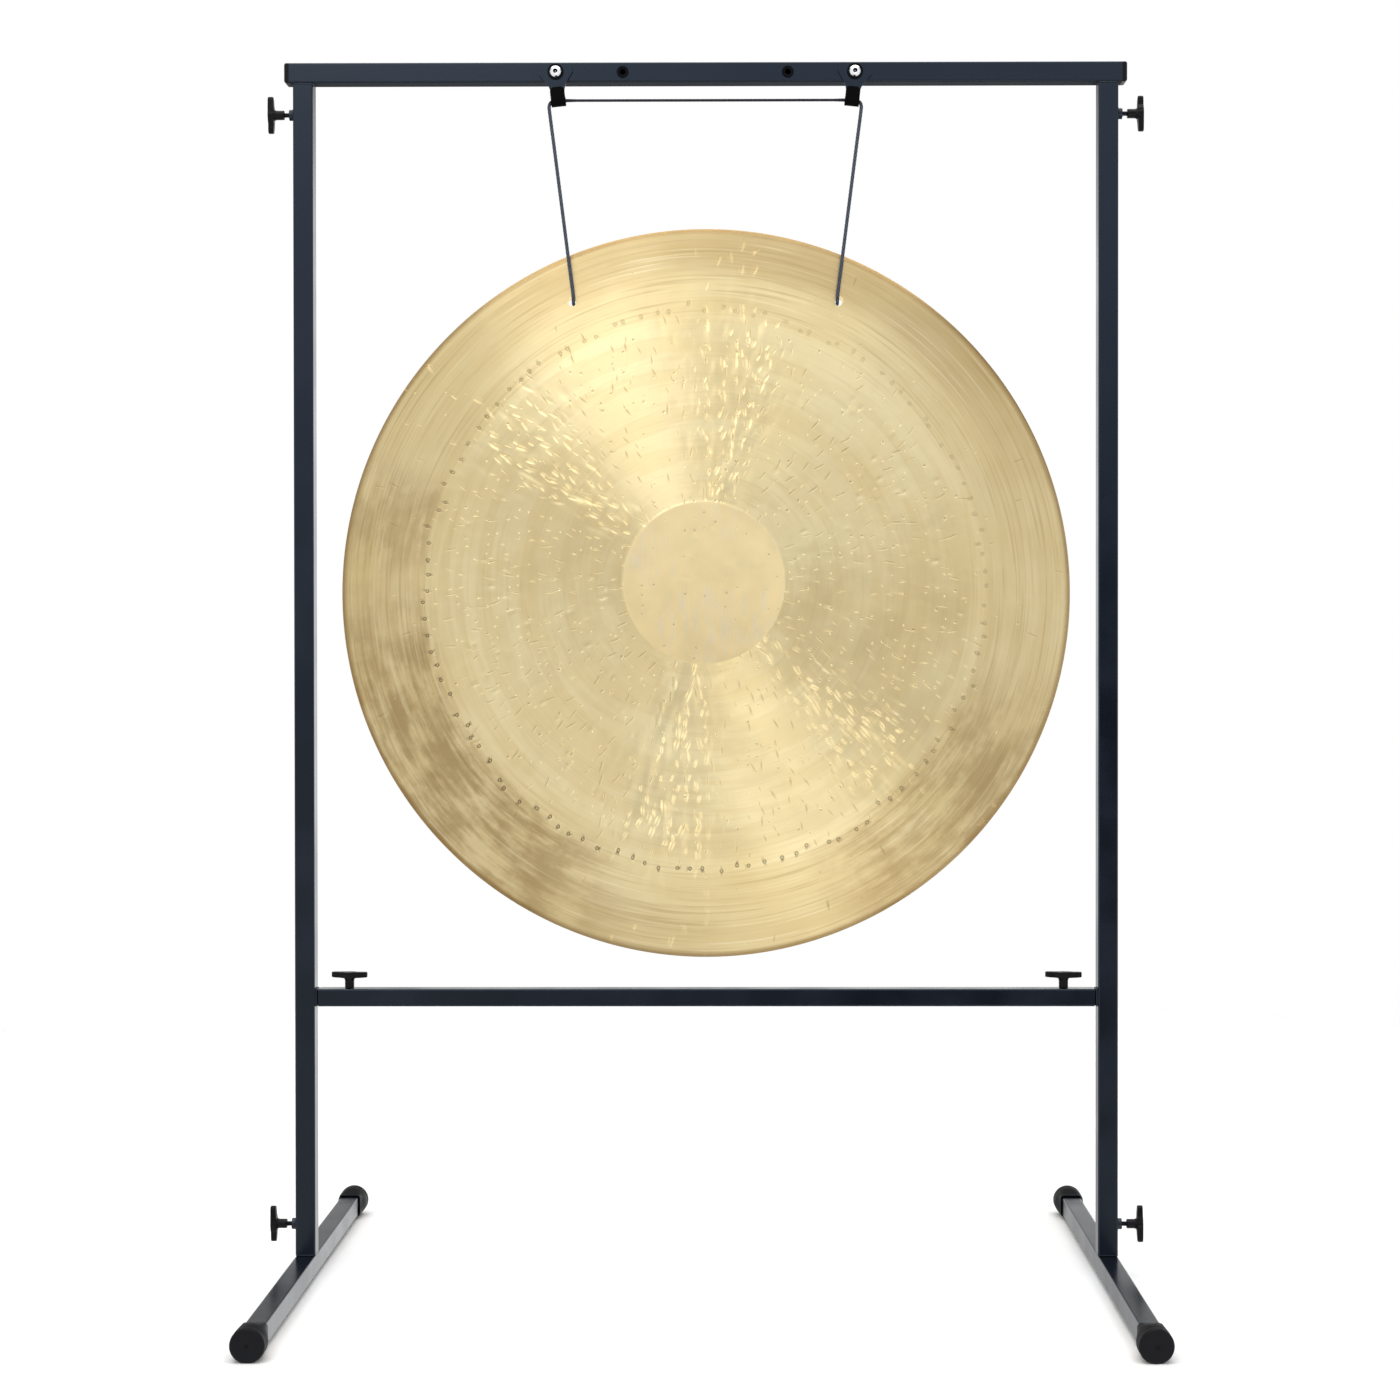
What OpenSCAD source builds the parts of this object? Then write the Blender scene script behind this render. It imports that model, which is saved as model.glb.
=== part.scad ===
// Tam tam gong on a knock-down square-tube stand.
// Millimetres. +Z is up, -Y is the front, the origin is on the floor under the middle of the stand.

/* [Stand] */
// Overall height of the stand
stand_h = 1530; // [1480:10:1700]
// Distance between the uprights, centre to centre
upright_span = 1009; // [1000:1:1200]
// How far the top bar reaches past each upright, end plug included
bar_overhang = 11; // [8:1:40]
// Length of each foot over its rubber caps
foot_len = 750; // [600:10:900]
// Height of the crossbar's centre line
crossbar_z = 357; // [200:1:360]

/* [Tubes] */
// Side of the square tube of the uprights, top bar and feet
tube = 25; // [24:1:28]
// Side of the crossbar's square tube
cross_tube = 22; // [21:1:25]
// Wall of the uprights
upright_wall = 1.2; // [1:0.1:1.5]
// Wall of the top bar, feet, crossbar and sliding stubs
bar_wall = 1.5; // [1.2:0.1:2]
// Gap all round between a stub and the tube that slides over it
slip = 0.3; // [0.2:0.05:0.5]
// Length of each stub inside its upright
stub_len = 98; // [80:1:150]

/* [Knobs] */
// Span of a thumb knob over its two wings
knob_span = 46; // [40:1:60]
// Height of a knob's round hub under the wings
hub_h = 12; // [8:1:16]
// Distance of the upper knobs below the top of the stand
upper_knob_drop = 63; // [60:1:90]
// Height of the lower knobs above the floor
lower_knob_z = 70.4; // [65:0.2:110]
// Distance of each crossbar knob from the stand's middle
cross_knob_x = 450; // [440:1:460]

/* [Gong] */
// Diameter of the gong
gong_d = 914; // [800:2:930]
// Distance of the gong's centre below the top of the stand
gong_drop = 665; // [655:1:675]
// Thickness of the bronze sheet
gong_t = 2; // [1.5:0.1:3]
// Diameter of the flat disc in the middle
centre_d = 202; // [150:1:260]
// How far the face falls back between the flat disc and the rim
dish = 9; // [5:1:20]
// Radius of the turned-back rim
rim_r = 8; // [5:1:12]
// Diameter of the two cord holes
hole_d = 8.5; // [8:0.5:12]
// Distance from the middle of the cord where it goes through the gong
hole_x = 165; // [164:1:166]
// How far each hole's middle lies outside its cord, which rests against the hole's inner side
hole_off = 1.4; // [0:0.2:1.4]
// Distance of the cord holes above the gong's centre
hole_up = 363; // [362:1:364]

/* [Hooks and cord] */
// Distance of each hook's screw from the middle
hook_x = 187.3; // [187:0.1:188]
// Lean of each hook, its foot drawn towards the middle by the cord
hook_lean = 6; // [5:0.5:7]
// Distance of each spare nut from the middle
spare_x = 103.4; // [60:0.2:140]
// Diameter of the braided cord
cord_d = 4.4; // [4:0.1:4.6]

/* [Hidden] */
$fn = 48;
eps = 0.01;
far = 40;

// Sides of the stand
left = -1;
right = 1;
// Ends of a foot
front = 1;
rear = -1;

// Colours
paint = [0.13, 0.14, 0.17];
black_plastic = [0.05, 0.05, 0.06];
rubber = [0.09, 0.09, 0.1];
zinc = [0.75, 0.76, 0.78];
bronze = [0.78, 0.68, 0.42];
cord_grey = [0.22, 0.23, 0.27];

// Tube corners and the weld beads between the tubes
corner_r = 2;
bead_h = 2;
bead_w = 1.3;

// Rubber caps of the feet
cap_r = 20;
cap_flat = 0.7;
cap_len = 45;
cap_end = 5;
cap_edge_r = 3;
cap_lip = 1;
dimple_r = 2.5;
dimple_depth = 1.5;

// Heights that follow from the tubes
half_span = upright_span / 2;
foot_z = cap_r - cap_flat;
foot_top = foot_z + tube / 2;
upright_low = foot_top + bead_h;
bar_z = stand_h - tube / 2;
bar_low = stand_h - tube;
upright_high = bar_low - bead_h;
stub = tube - 2 * upright_wall - 2 * slip;
bar_half = half_span + tube / 2 + bar_overhang;
gong_z = stand_h - gong_drop;
hole_z = gong_z + hole_up;

// End plugs of the top bar
plug_head = 6;
plug_chamfer = 2;
plug_tail = 14;
plug_slack = 0.1;
plug_wall = 2;

// Crossbar and the stubs that it slips over
cross_gap = 4;
cross_half = half_span - tube / 2 - cross_gap;
cross_stub = 18;
cross_stub_wall = 2.5;
cross_stub_len = 60;

// Thumb screws: an M6 stud in a moulded grip
stud_r = 3;
thread_slack = 0.05;
stud_hole_r = 3.4;
nut_r = 6.8;
nut_h = 6;
nut_weld_r = 8;
nut_weld_h = 1.4;
thread_shown = 6.5;
tip_gap = 0.25;
hub_r = 6.1;
wing_h = 8;
wing_tip_h = 5.8;
wing_root_r = 7.6;
wing_tip_r = 4.8;
stud_in_grip = 14;
cross_tip = (cross_tube - cross_stub) / 2 + cross_stub_wall + 1;

// Rivet nuts in the top bar
rivet_r = 5.5;
rivet_flange_r = 7.5;
rivet_flange_h = 0.8;
rivet_bulge_r = 7;
rivet_bulge_h = 4;
rivet_len = 17;
rivet_lead = 0.6;
m8_tapped_r = 3.4;
m8_r = 4;

// Hooks: a plate whose narrow foot turns up in front, with a rubber sleeve on the foot
plate_t = 2;
plate_half = 21.3;
plate_up = 7.3;
plate_side = 9;
plate_hole_r = 4.5;
strip_half = 7.5;
sleeve_t = 1.1;
sleeve_side = 1.5;
trough_r = 3;
bend_r = trough_r + sleeve_t;
hook_drop = 37.75;
lip_up = 15;
tip_r = 4;
sleeve_back_up = 5;
cord_rise = 0.35;
plate_y = -tube / 2 - rivet_flange_h;
cord_y = plate_y - plate_t - sleeve_t - trough_r;
cord_z = bar_z - (hook_drop - cord_rise) * cos(hook_lean);

// Hook screws and washers, M8 button head
washer_r = 10;
washer_t = 1.6;
head_r = 7;
head_h = 4.4;
head_edge = 1;
socket_flat = 5;
socket_depth = 2.6;
screw_len = 20;

// Gong: the face's flat disc, the shallow dish and the turned-back rim
centre_step = 1.2;
centre_bevel = 3;
dish_rings = 8;
rim_steps = 6;
balance_y = 6.25;
face_y = cord_y - balance_y;
dish_start = centre_d / 2 + centre_bevel;
dish_end = gong_d / 2 - rim_r;
function fall(r) = centre_step + dish * pow((r - dish_start) / (dish_end - dish_start), 2);

// Cord. Its top run lies in both hooks; below them it is one loop, closed by the knot behind the gong
cord_sides = 10;
cord_r = cord_d / 2;
trough_end = 185.6;
bend_start = 186.6;
flare_start = 190.2;
flare_end = 192.8;
flare_r = [3.5, 6.8];
hook_bend_r = 8.4;
hook_bend = 96;
hole_bend_r = 9;
hole_slant = 52;
knot_half = 9;
knot_r = 7;

// The loop's left half from its hook to the knot; heights count down from the top of the stand.
// The cord bends down over its hook, slants through the hole and turns towards the middle behind the gong
hook_end = concat(
  [[-trough_end, cord_y, cord_z - stand_h]],
  [for (a = [0:hook_bend / 8:hook_bend])
    [-bend_start - hook_bend_r * sin(a), cord_y, cord_z - stand_h - hook_bend_r * (1 - cos(a))]]);
hole_at = [-hole_x, face_y + fall(norm([hole_x, hole_up])) + gong_t / 2, hole_z - stand_h];
into_hole = [for (a = [0:hole_slant / 4:hole_slant])
               hole_at - hole_bend_r * [0, cos(a) - cos(hole_slant), sin(a) - sin(hole_slant)]];
out_of_hole = [for (a = [15:15:90])
                 hole_at + hole_bend_r * [1 - cos(a), sin(a) * sin(hole_slant), -sin(a) * cos(hole_slant)]];
leg = [for (t = [0.2:0.2:0.8]) (1 - t) * hook_end[len(hook_end) - 1] + t * into_hole[0]];
behind = [[-140, -9.9, -307.7], [-90, -9.8, -308.1], [-40, -9.6, -308.4], [-14, -9.5, -308.5],
          [-knot_half, -9.5, -308.5]];
left_route = concat(hook_end, leg, into_hole, out_of_hole, behind);

// ---------------------------------------------------------------- helpers

module rounded_square(side, r) {
  square([side - 2 * r, side], center = true);
  square([side, side - 2 * r], center = true);
  for (x = [-1, 1], y = [-1, 1])
    translate([x * (side / 2 - r), y * (side / 2 - r)]) circle(r = r);
}

// A square tube along +Z
module square_tube(side, wall, length) {
  linear_extrude(length)
    difference() {
      rounded_square(side, corner_r);
      rounded_square(side - 2 * wall, corner_r / 2);
    }
}

// A ring of weld round the foot of a stub, from z = 0 up
module weld_ring(side) {
  linear_extrude(bead_h)
    difference() {
      rounded_square(side + 2 * bead_w - 0.4, corner_r);
      rounded_square(side - 2 * bar_wall, corner_r / 2);
    }
}

function unit(v) = v / norm(v);
function along(p, i) = unit(p[min(i + 1, len(p) - 1)] - p[max(i - 1, 0)]);
function flat_to(v, t) = unit(v - (v * t) * t);

// The closed tube that a round cord fills along a route, which starts out along X
module swept_cord(route) {
  n = len(route);
  t = [for (i = [0:n - 1]) along(route, i)];
  across = [for (i = 0, v = flat_to([0, 1, 0], t[0]); i < n;
                 i = i + 1, v = i < n ? flat_to(v, t[i]) : v) v];
  ring = [for (i = [0:n - 1], k = [0:cord_sides - 1])
            let (a = 360 * k / cord_sides)
            route[i] + cord_r * (cos(a) * across[i] + sin(a) * cross(t[i], across[i]))];
  wall = [for (i = [0:n - 2], k = [0:cord_sides - 1])
            let (m = (k + 1) % cord_sides, a = i * cord_sides, b = a + cord_sides)
            [a + k, b + k, b + m, a + m]];
  ends = [[for (k = [0:cord_sides - 1]) k],
          [for (k = [cord_sides - 1:-1:0]) (n - 1) * cord_sides + k]];
  polyhedron(ring, concat(wall, ends));
}

// ---------------------------------------------------------------- frame

module upright(side) {
  color(paint)
    translate([side * half_span, 0, 0])
      difference() {
        translate([0, 0, upright_low]) square_tube(tube, upright_wall, upright_high - upright_low);
        for (z = [lower_knob_z, stand_h - upper_knob_drop])
          translate([0, 0, z]) rotate([0, side * 90, 0]) cylinder(r = stud_hole_r, h = tube);
      }
}

module crossbar() {
  color(paint)
    difference() {
      translate([-cross_half, 0, crossbar_z])
        rotate([0, 90, 0]) square_tube(cross_tube, bar_wall, 2 * cross_half);
      for (side = [left, right])
        translate([side * cross_knob_x, 0, crossbar_z]) cylinder(r = stud_hole_r, h = cross_tube);
    }
}

module cross_stub(side) {
  color(paint)
    difference() {
      translate([side * (half_span - tube / 2), 0, crossbar_z])
        rotate([0, -side * 90, 0]) {
          square_tube(cross_stub, cross_stub_wall, cross_stub_len);
          weld_ring(cross_stub);
        }
      translate([side * cross_knob_x, 0, crossbar_z])
        cylinder(r = stud_r + thread_slack, h = cross_tube);
    }
}

// Moves a knob's own frame, with +Z away from the tube, to its place on the stand
module at_knob(side, place) {
  z = place == "upper" ? stand_h - upper_knob_drop : lower_knob_z;
  if (place == "cross")
    translate([side * cross_knob_x, 0, crossbar_z + cross_tube / 2]) rotate([0, 0, 90]) children();
  else
    translate([side * (half_span + tube / 2), 0, z]) rotate([0, side * 90, 0]) rotate([0, 0, 90]) children();
}

module weld_nut(side, place) {
  color(paint)
    at_knob(side, place)
      difference() {
        union() {
          cylinder(r = nut_r, h = nut_h);
          cylinder(r1 = nut_weld_r, r2 = nut_r, h = nut_weld_h);
        }
        translate([0, 0, -eps]) cylinder(r = stud_r + thread_slack, h = nut_h + 2 * eps);
      }
}

// ---------------------------------------------------------------- knobs

function hub_start(place) = place == "cross" ? 0 : nut_h + thread_shown;
function tip_depth(place) = place == "cross" ? cross_tip : upright_wall + slip - tip_gap;

module wing_plan() {
  reach = knob_span / 2 - wing_tip_r;
  circle(r = wing_root_r);
  for (a = [90, 270])
    rotate(a) {
      translate([reach, -1.8]) circle(r = wing_tip_r);
      polygon([[0, -7], [reach, -6.6], [reach, 3], [reach - 7, 3.2], [6.4, 6], [0, wing_root_r]]);
    }
}

module grip(side, place) {
  start = hub_start(place);
  color(black_plastic)
    at_knob(side, place)
      difference() {
        union() {
          translate([0, 0, start]) cylinder(r = hub_r, h = hub_h + 1);
          intersection() {
            translate([0, 0, start + hub_h]) linear_extrude(wing_h) wing_plan();
            translate([0, 0, start + hub_h])
              rotate_extrude()
                polygon([[0, 0], [wing_root_r, 0], [knob_span / 2 + 1, wing_h - wing_tip_h],
                         [knob_span / 2 + 1, wing_h], [0, wing_h]]);
          }
        }
        translate([0, 0, start - eps]) cylinder(r = stud_r, h = stud_in_grip + eps);
      }
}

module stud(side, place) {
  low = -tip_depth(place);
  color(zinc)
    at_knob(side, place)
      translate([0, 0, low]) cylinder(r = stud_r, h = hub_start(place) + stud_in_grip - low);
}

// ---------------------------------------------------------------- top bar

module top_bar() {
  length = 2 * (bar_half - plug_head);
  color(paint)
    difference() {
      translate([-length / 2, 0, bar_z]) rotate([0, 90, 0]) square_tube(tube, bar_wall, length);
      for (x = [-hook_x, -spare_x, spare_x, hook_x])
        translate([x, 0, bar_z]) rotate([90, 0, 0]) cylinder(r = rivet_r, h = tube);
    }
}

module bar_plug(side) {
  tail = tube - 2 * bar_wall - 2 * plug_slack;
  color(black_plastic)
    translate([side * (bar_half - plug_head), 0, bar_z])
      rotate([0, side * 90, 0])
        difference() {
          union() {
            linear_extrude(plug_head) rounded_square(tube, corner_r);
            translate([0, 0, -plug_tail]) linear_extrude(plug_tail) rounded_square(tail, corner_r / 2);
          }
          translate([0, 0, -plug_tail - eps])
            linear_extrude(plug_tail) rounded_square(tail - 2 * plug_wall, corner_r / 2);
          for (a = [0:90:270])
            rotate(a)
              translate([tube / 2, 0, plug_head])
                rotate([0, 45, 0])
                  cube([plug_chamfer * sqrt(2), 2 * tube, plug_chamfer * sqrt(2)], center = true);
        }
}

module top_stub(side) {
  color(paint)
    translate([side * half_span, 0, bar_low])
      mirror([0, 0, 1]) {
        square_tube(stub, bar_wall, stub_len + bead_h);
        weld_ring(stub);
      }
}

// A rivet nut in the front wall of the bar; its flange lies on the outside
module rivet_nut(x, bore_r) {
  color(zinc)
    translate([x, -tube / 2, bar_z])
      rotate([-90, 0, 0])
        difference() {
          union() {
            translate([0, 0, -rivet_flange_h]) cylinder(r = rivet_flange_r, h = rivet_flange_h);
            cylinder(r = rivet_r, h = rivet_len);
            translate([0, 0, bar_wall]) cylinder(r = rivet_bulge_r, h = rivet_bulge_h);
          }
          translate([0, 0, -1]) cylinder(r = bore_r, h = rivet_len + 2);
          translate([0, 0, -rivet_flange_h - eps])
            cylinder(r1 = bore_r + rivet_lead, r2 = bore_r, h = rivet_lead);
        }
}

// Moves a hook's own frame to its screw hole: +X stays to the right, -Y is the front
module at_hook(side) {
  translate([side * hook_x, plate_y, bar_z]) rotate([0, side * hook_lean, 0]) children();
}

// The upturned foot of a hook: a U of the given radii with a round-cornered lip in front
module hook_foot(inner_r, outer_r, half_w, top, tip) {
  centre_y = -plate_t - bend_r;
  intersection() {
    translate([-half_w, centre_y, -hook_drop])
      rotate([0, 90, 0])
        difference() {
          cylinder(r = outer_r, h = 2 * half_w);
          translate([0, 0, -1]) cylinder(r = inner_r, h = 2 * half_w + 2);
        }
    translate([-far / 2, -far / 2, -hook_drop - far]) cube([far, far, far]);
  }
  translate([0, centre_y - inner_r, -hook_drop])
    rotate([90, 0, 0])
      linear_extrude(outer_r - inner_r) {
        translate([-half_w, 0]) square([2 * half_w, top - tip]);
        translate([-half_w + tip, 0]) square([2 * (half_w - tip), top]);
        for (x = [-1, 1])
          translate([x * (half_w - tip), top - tip]) circle(r = tip);
      }
}

module hook_steel() {
  side_low = plate_up - plate_side;
  rotate([90, 0, 0])
    linear_extrude(plate_t)
      difference() {
        polygon([[-plate_half, plate_up], [-plate_half, side_low], [-13.6, -12.5], [-10.4, -18],
                 [-8.4, -25], [-strip_half, -31], [-strip_half, -hook_drop],
                 [strip_half, -hook_drop], [strip_half, -31], [8.4, -25],
                 [10.4, -18], [13.6, -12.5], [plate_half, side_low], [plate_half, plate_up]]);
        circle(r = plate_hole_r);
      }
  hook_foot(bend_r, bend_r + plate_t, strip_half, lip_up, tip_r);
}

module hook(side) {
  color(paint) at_hook(side) hook_steel();
}

module hook_sleeve(side) {
  half = strip_half + sleeve_side;
  outer = bend_r + plate_t + sleeve_t;
  color(rubber)
    at_hook(side)
      difference() {
        union() {
          hook_foot(trough_r, outer, half, lip_up + sleeve_t, tip_r + sleeve_side);
          translate([-half, -plate_t - sleeve_t, -hook_drop])
            cube([2 * half, outer - trough_r, sleeve_back_up]);
        }
        hook_steel();
        rotate([0, -side * hook_lean, 0])
          translate([-side * hook_x, -plate_y, -bar_z])
            trough_flare(side);
      }
}

// The widened mouth of a trough, where the cord turns down
module trough_flare(side) {
  translate([side * flare_start, cord_y, cord_z])
    rotate([0, side * 90, 0])
      cylinder(r1 = flare_r[0], r2 = flare_r[1], h = flare_end - flare_start);
}

module hook_washer(side) {
  color(black_plastic)
    translate([side * hook_x, plate_y - plate_t, bar_z])
      rotate([90, 0, 0])
        difference() {
          cylinder(r = washer_r, h = washer_t);
          translate([0, 0, -1]) cylinder(r = m8_r + 0.2, h = washer_t + 2);
        }
}

module hook_screw(side) {
  dome_rise = head_h - head_edge;
  dome_r = (head_r * head_r + dome_rise * dome_rise) / (2 * dome_rise);
  color(zinc)
    translate([side * hook_x, plate_y - plate_t - washer_t, bar_z])
      rotate([90, 0, 0])
        difference() {
          union() {
            intersection() {
              cylinder(r = head_r, h = head_h);
              translate([0, 0, head_h - dome_r]) sphere(r = dome_r);
            }
            translate([0, 0, -screw_len]) cylinder(r = m8_r, h = screw_len + eps);
          }
          translate([0, 0, head_h - socket_depth])
            cylinder(r = socket_flat / sqrt(3), h = socket_depth + 1, $fn = 6);
        }
}

// ---------------------------------------------------------------- feet

module foot_tube(side) {
  length = foot_len - 2 * cap_end;
  color(paint)
    translate([side * half_span, length / 2, foot_z])
      rotate([90, 0, 0]) square_tube(tube, bar_wall, length);
}

module foot_stub(side) {
  color(paint)
    translate([side * half_span, 0, foot_top]) {
      square_tube(stub, bar_wall, stub_len + bead_h);
      weld_ring(stub);
    }
}

module foot_cap(side, end) {
  far_end = foot_len / 2;
  color(rubber)
    translate([side * half_span, 0, 0])
      difference() {
        translate([0, 0, foot_z])
          rotate([end * 90, 0, 0]) {
            difference() {
              union() {
                translate([0, 0, far_end - cap_len + cap_lip])
                  cylinder(r = cap_r, h = cap_len - cap_lip - cap_edge_r);
                translate([0, 0, far_end - cap_len]) cylinder(r1 = cap_r - cap_lip, r2 = cap_r, h = cap_lip);
                rotate_extrude() {
                  translate([0, far_end - cap_edge_r - 1]) square([cap_r - cap_edge_r, cap_edge_r + 1]);
                  intersection() {
                    translate([cap_r - cap_edge_r, far_end - cap_edge_r]) circle(r = cap_edge_r);
                    translate([0, far_end - cap_edge_r]) square([cap_r, cap_edge_r]);
                  }
                }
              }
              translate([0, 0, far_end - far - cap_len])
                linear_extrude(far + cap_len - cap_end) rounded_square(tube, corner_r);
              translate([0, 0, far_end - dimple_depth]) cylinder(r = dimple_r, h = far);
            }
          }
        translate([-far, -foot_len, -far]) cube([2 * far, 2 * foot_len, far]);
      }
}

// ---------------------------------------------------------------- gong and cord

module gong_disc() {
  radii = [for (i = [0:dish_rings]) dish_start + (dish_end - dish_start) * i / dish_rings];
  turns = [for (i = [1:rim_steps]) 90 * i / rim_steps];
  face = concat(
    [[0, 0], [centre_d / 2, 0]],
    [for (r = radii) [r, -fall(r)]],
    [for (a = turns) [dish_end + rim_r * sin(a), -fall(dish_end) - rim_r * (1 - cos(a))]]);
  back_r = rim_r - gong_t;
  back = concat(
    [[0, -gong_t], [centre_d / 2, -gong_t]],
    [for (r = radii) [r, -fall(r) - gong_t]],
    [for (a = turns) [dish_end + back_r * sin(a), -fall(dish_end) - rim_r + back_r * cos(a)]]);
  outline = concat(face, [for (i = [len(back) - 1:-1:0]) back[i]]);
  color(bronze)
    translate([0, face_y, gong_z])
      rotate([90, 0, 0])
        difference() {
          rotate_extrude($fn = 96) polygon(outline);
          for (side = [left, right])
            translate([side * (hole_x + hole_off), hole_z - gong_z, -far])
              cylinder(r = hole_d / 2, h = 2 * far);
        }
}

module cord_top() {
  color(cord_grey)
    swept_cord([for (x = [-trough_end:trough_end / 3:trough_end]) [x, cord_y, cord_z]]);
}

module cord_left() {
  color(cord_grey) translate([0, 0, stand_h]) swept_cord(left_route);
}

module cord_right() {
  color(cord_grey) translate([0, 0, stand_h]) mirror([1, 0, 0]) swept_cord(left_route);
}

module cord_knot() {
  color(cord_grey)
    translate([0, left_route[len(left_route) - 1].y, stand_h + left_route[len(left_route) - 1].z])
      rotate([0, 90, 0])
        rotate_extrude()
          polygon([[0, -knot_half], [cord_r, -knot_half], [knot_r - 1, -knot_half / 2], [knot_r, 0],
                   [knot_r - 1, knot_half / 2], [cord_r, knot_half], [0, knot_half]]);
}

// ---------------------------------------------------------------- nodes

upright(left);  // left_upright
upright(right);  // right_upright
crossbar();
cross_stub(left);  // left_cross_stub
cross_stub(right);  // right_cross_stub
weld_nut(left, "upper");  // left_upper_nut
weld_nut(right, "upper");  // right_upper_nut
weld_nut(left, "lower");  // left_lower_nut
weld_nut(right, "lower");  // right_lower_nut

top_bar();
bar_plug(left);  // left_bar_plug
bar_plug(right);  // right_bar_plug
top_stub(left);  // left_top_stub
top_stub(right);  // right_top_stub
hook(left);  // left_hook
hook(right);  // right_hook
hook_sleeve(left);  // left_hook_sleeve
hook_sleeve(right);  // right_hook_sleeve
hook_screw(left);  // left_hook_screw
hook_screw(right);  // right_hook_screw
hook_washer(left);  // left_hook_washer
hook_washer(right);  // right_hook_washer
rivet_nut(-hook_x, m8_r);  // left_hook_nut
rivet_nut(hook_x, m8_r);  // right_hook_nut
rivet_nut(-spare_x, m8_tapped_r);  // left_spare_nut
rivet_nut(spare_x, m8_tapped_r);  // right_spare_nut
cord_top();

foot_tube(left);  // left_foot_tube
foot_stub(left);  // left_foot_stub
foot_cap(left, front);  // left_front_cap
foot_cap(left, rear);  // left_rear_cap
foot_tube(right);  // right_foot_tube
foot_stub(right);  // right_foot_stub
foot_cap(right, front);  // right_front_cap
foot_cap(right, rear);  // right_rear_cap

gong_disc();
cord_left();
cord_right();
cord_knot();

grip(left, "upper");  // left_upper_grip
grip(right, "upper");  // right_upper_grip
grip(left, "lower");  // left_lower_grip
grip(right, "lower");  // right_lower_grip
grip(left, "cross");  // left_cross_grip
grip(right, "cross");  // right_cross_grip
stud(left, "upper");  // left_upper_stud
stud(right, "upper");  // right_upper_stud
stud(left, "lower");  // left_lower_stud
stud(right, "lower");  // right_lower_stud
stud(left, "cross");  // left_cross_stud
stud(right, "cross");  // right_cross_stud
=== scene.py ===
"""Looks for the tam tam gong on its knock-down stand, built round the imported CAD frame.

Lengths in the named values are millimetres unless a comment says otherwise; MM turns them into metres.
The stand's tubes, hooks, sleeves, screws, washers, nuts and plugs stay as the CAD made them and get
materials here. The gong, the cord with its knot, the grips, the studs and the rubber caps are replaced by
detailed pieces of the same size, and weld beads are added.
"""
from math import cos, hypot, pi, radians, sin, sqrt, tau

import bmesh
import bpy
import numpy as np
from mathutils import Matrix, Vector, noise


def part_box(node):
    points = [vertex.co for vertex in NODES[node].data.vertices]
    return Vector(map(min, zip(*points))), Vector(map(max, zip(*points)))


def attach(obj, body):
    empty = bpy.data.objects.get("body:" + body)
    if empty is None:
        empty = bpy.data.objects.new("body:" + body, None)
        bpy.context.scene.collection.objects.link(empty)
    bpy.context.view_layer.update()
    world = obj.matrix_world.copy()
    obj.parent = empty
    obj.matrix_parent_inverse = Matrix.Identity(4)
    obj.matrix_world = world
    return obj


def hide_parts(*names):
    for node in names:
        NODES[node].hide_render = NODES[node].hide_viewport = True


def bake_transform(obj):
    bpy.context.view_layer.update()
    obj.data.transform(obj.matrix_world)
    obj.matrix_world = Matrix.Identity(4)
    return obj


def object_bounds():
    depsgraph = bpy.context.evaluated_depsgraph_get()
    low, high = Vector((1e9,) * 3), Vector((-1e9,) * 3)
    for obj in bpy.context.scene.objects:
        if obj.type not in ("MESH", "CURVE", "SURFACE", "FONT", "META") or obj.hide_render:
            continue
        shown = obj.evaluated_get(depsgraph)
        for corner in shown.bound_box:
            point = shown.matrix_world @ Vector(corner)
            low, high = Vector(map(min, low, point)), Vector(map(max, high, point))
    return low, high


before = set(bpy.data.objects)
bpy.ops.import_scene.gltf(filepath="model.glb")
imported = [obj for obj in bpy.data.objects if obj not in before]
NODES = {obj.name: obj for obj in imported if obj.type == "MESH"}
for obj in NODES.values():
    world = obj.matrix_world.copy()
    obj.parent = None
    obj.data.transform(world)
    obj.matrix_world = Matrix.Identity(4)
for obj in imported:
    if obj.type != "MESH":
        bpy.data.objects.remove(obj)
CAD_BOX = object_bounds()
MM = 0.001
SIDES = {"left": -1, "right": 1}


# ---- node materials

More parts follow.
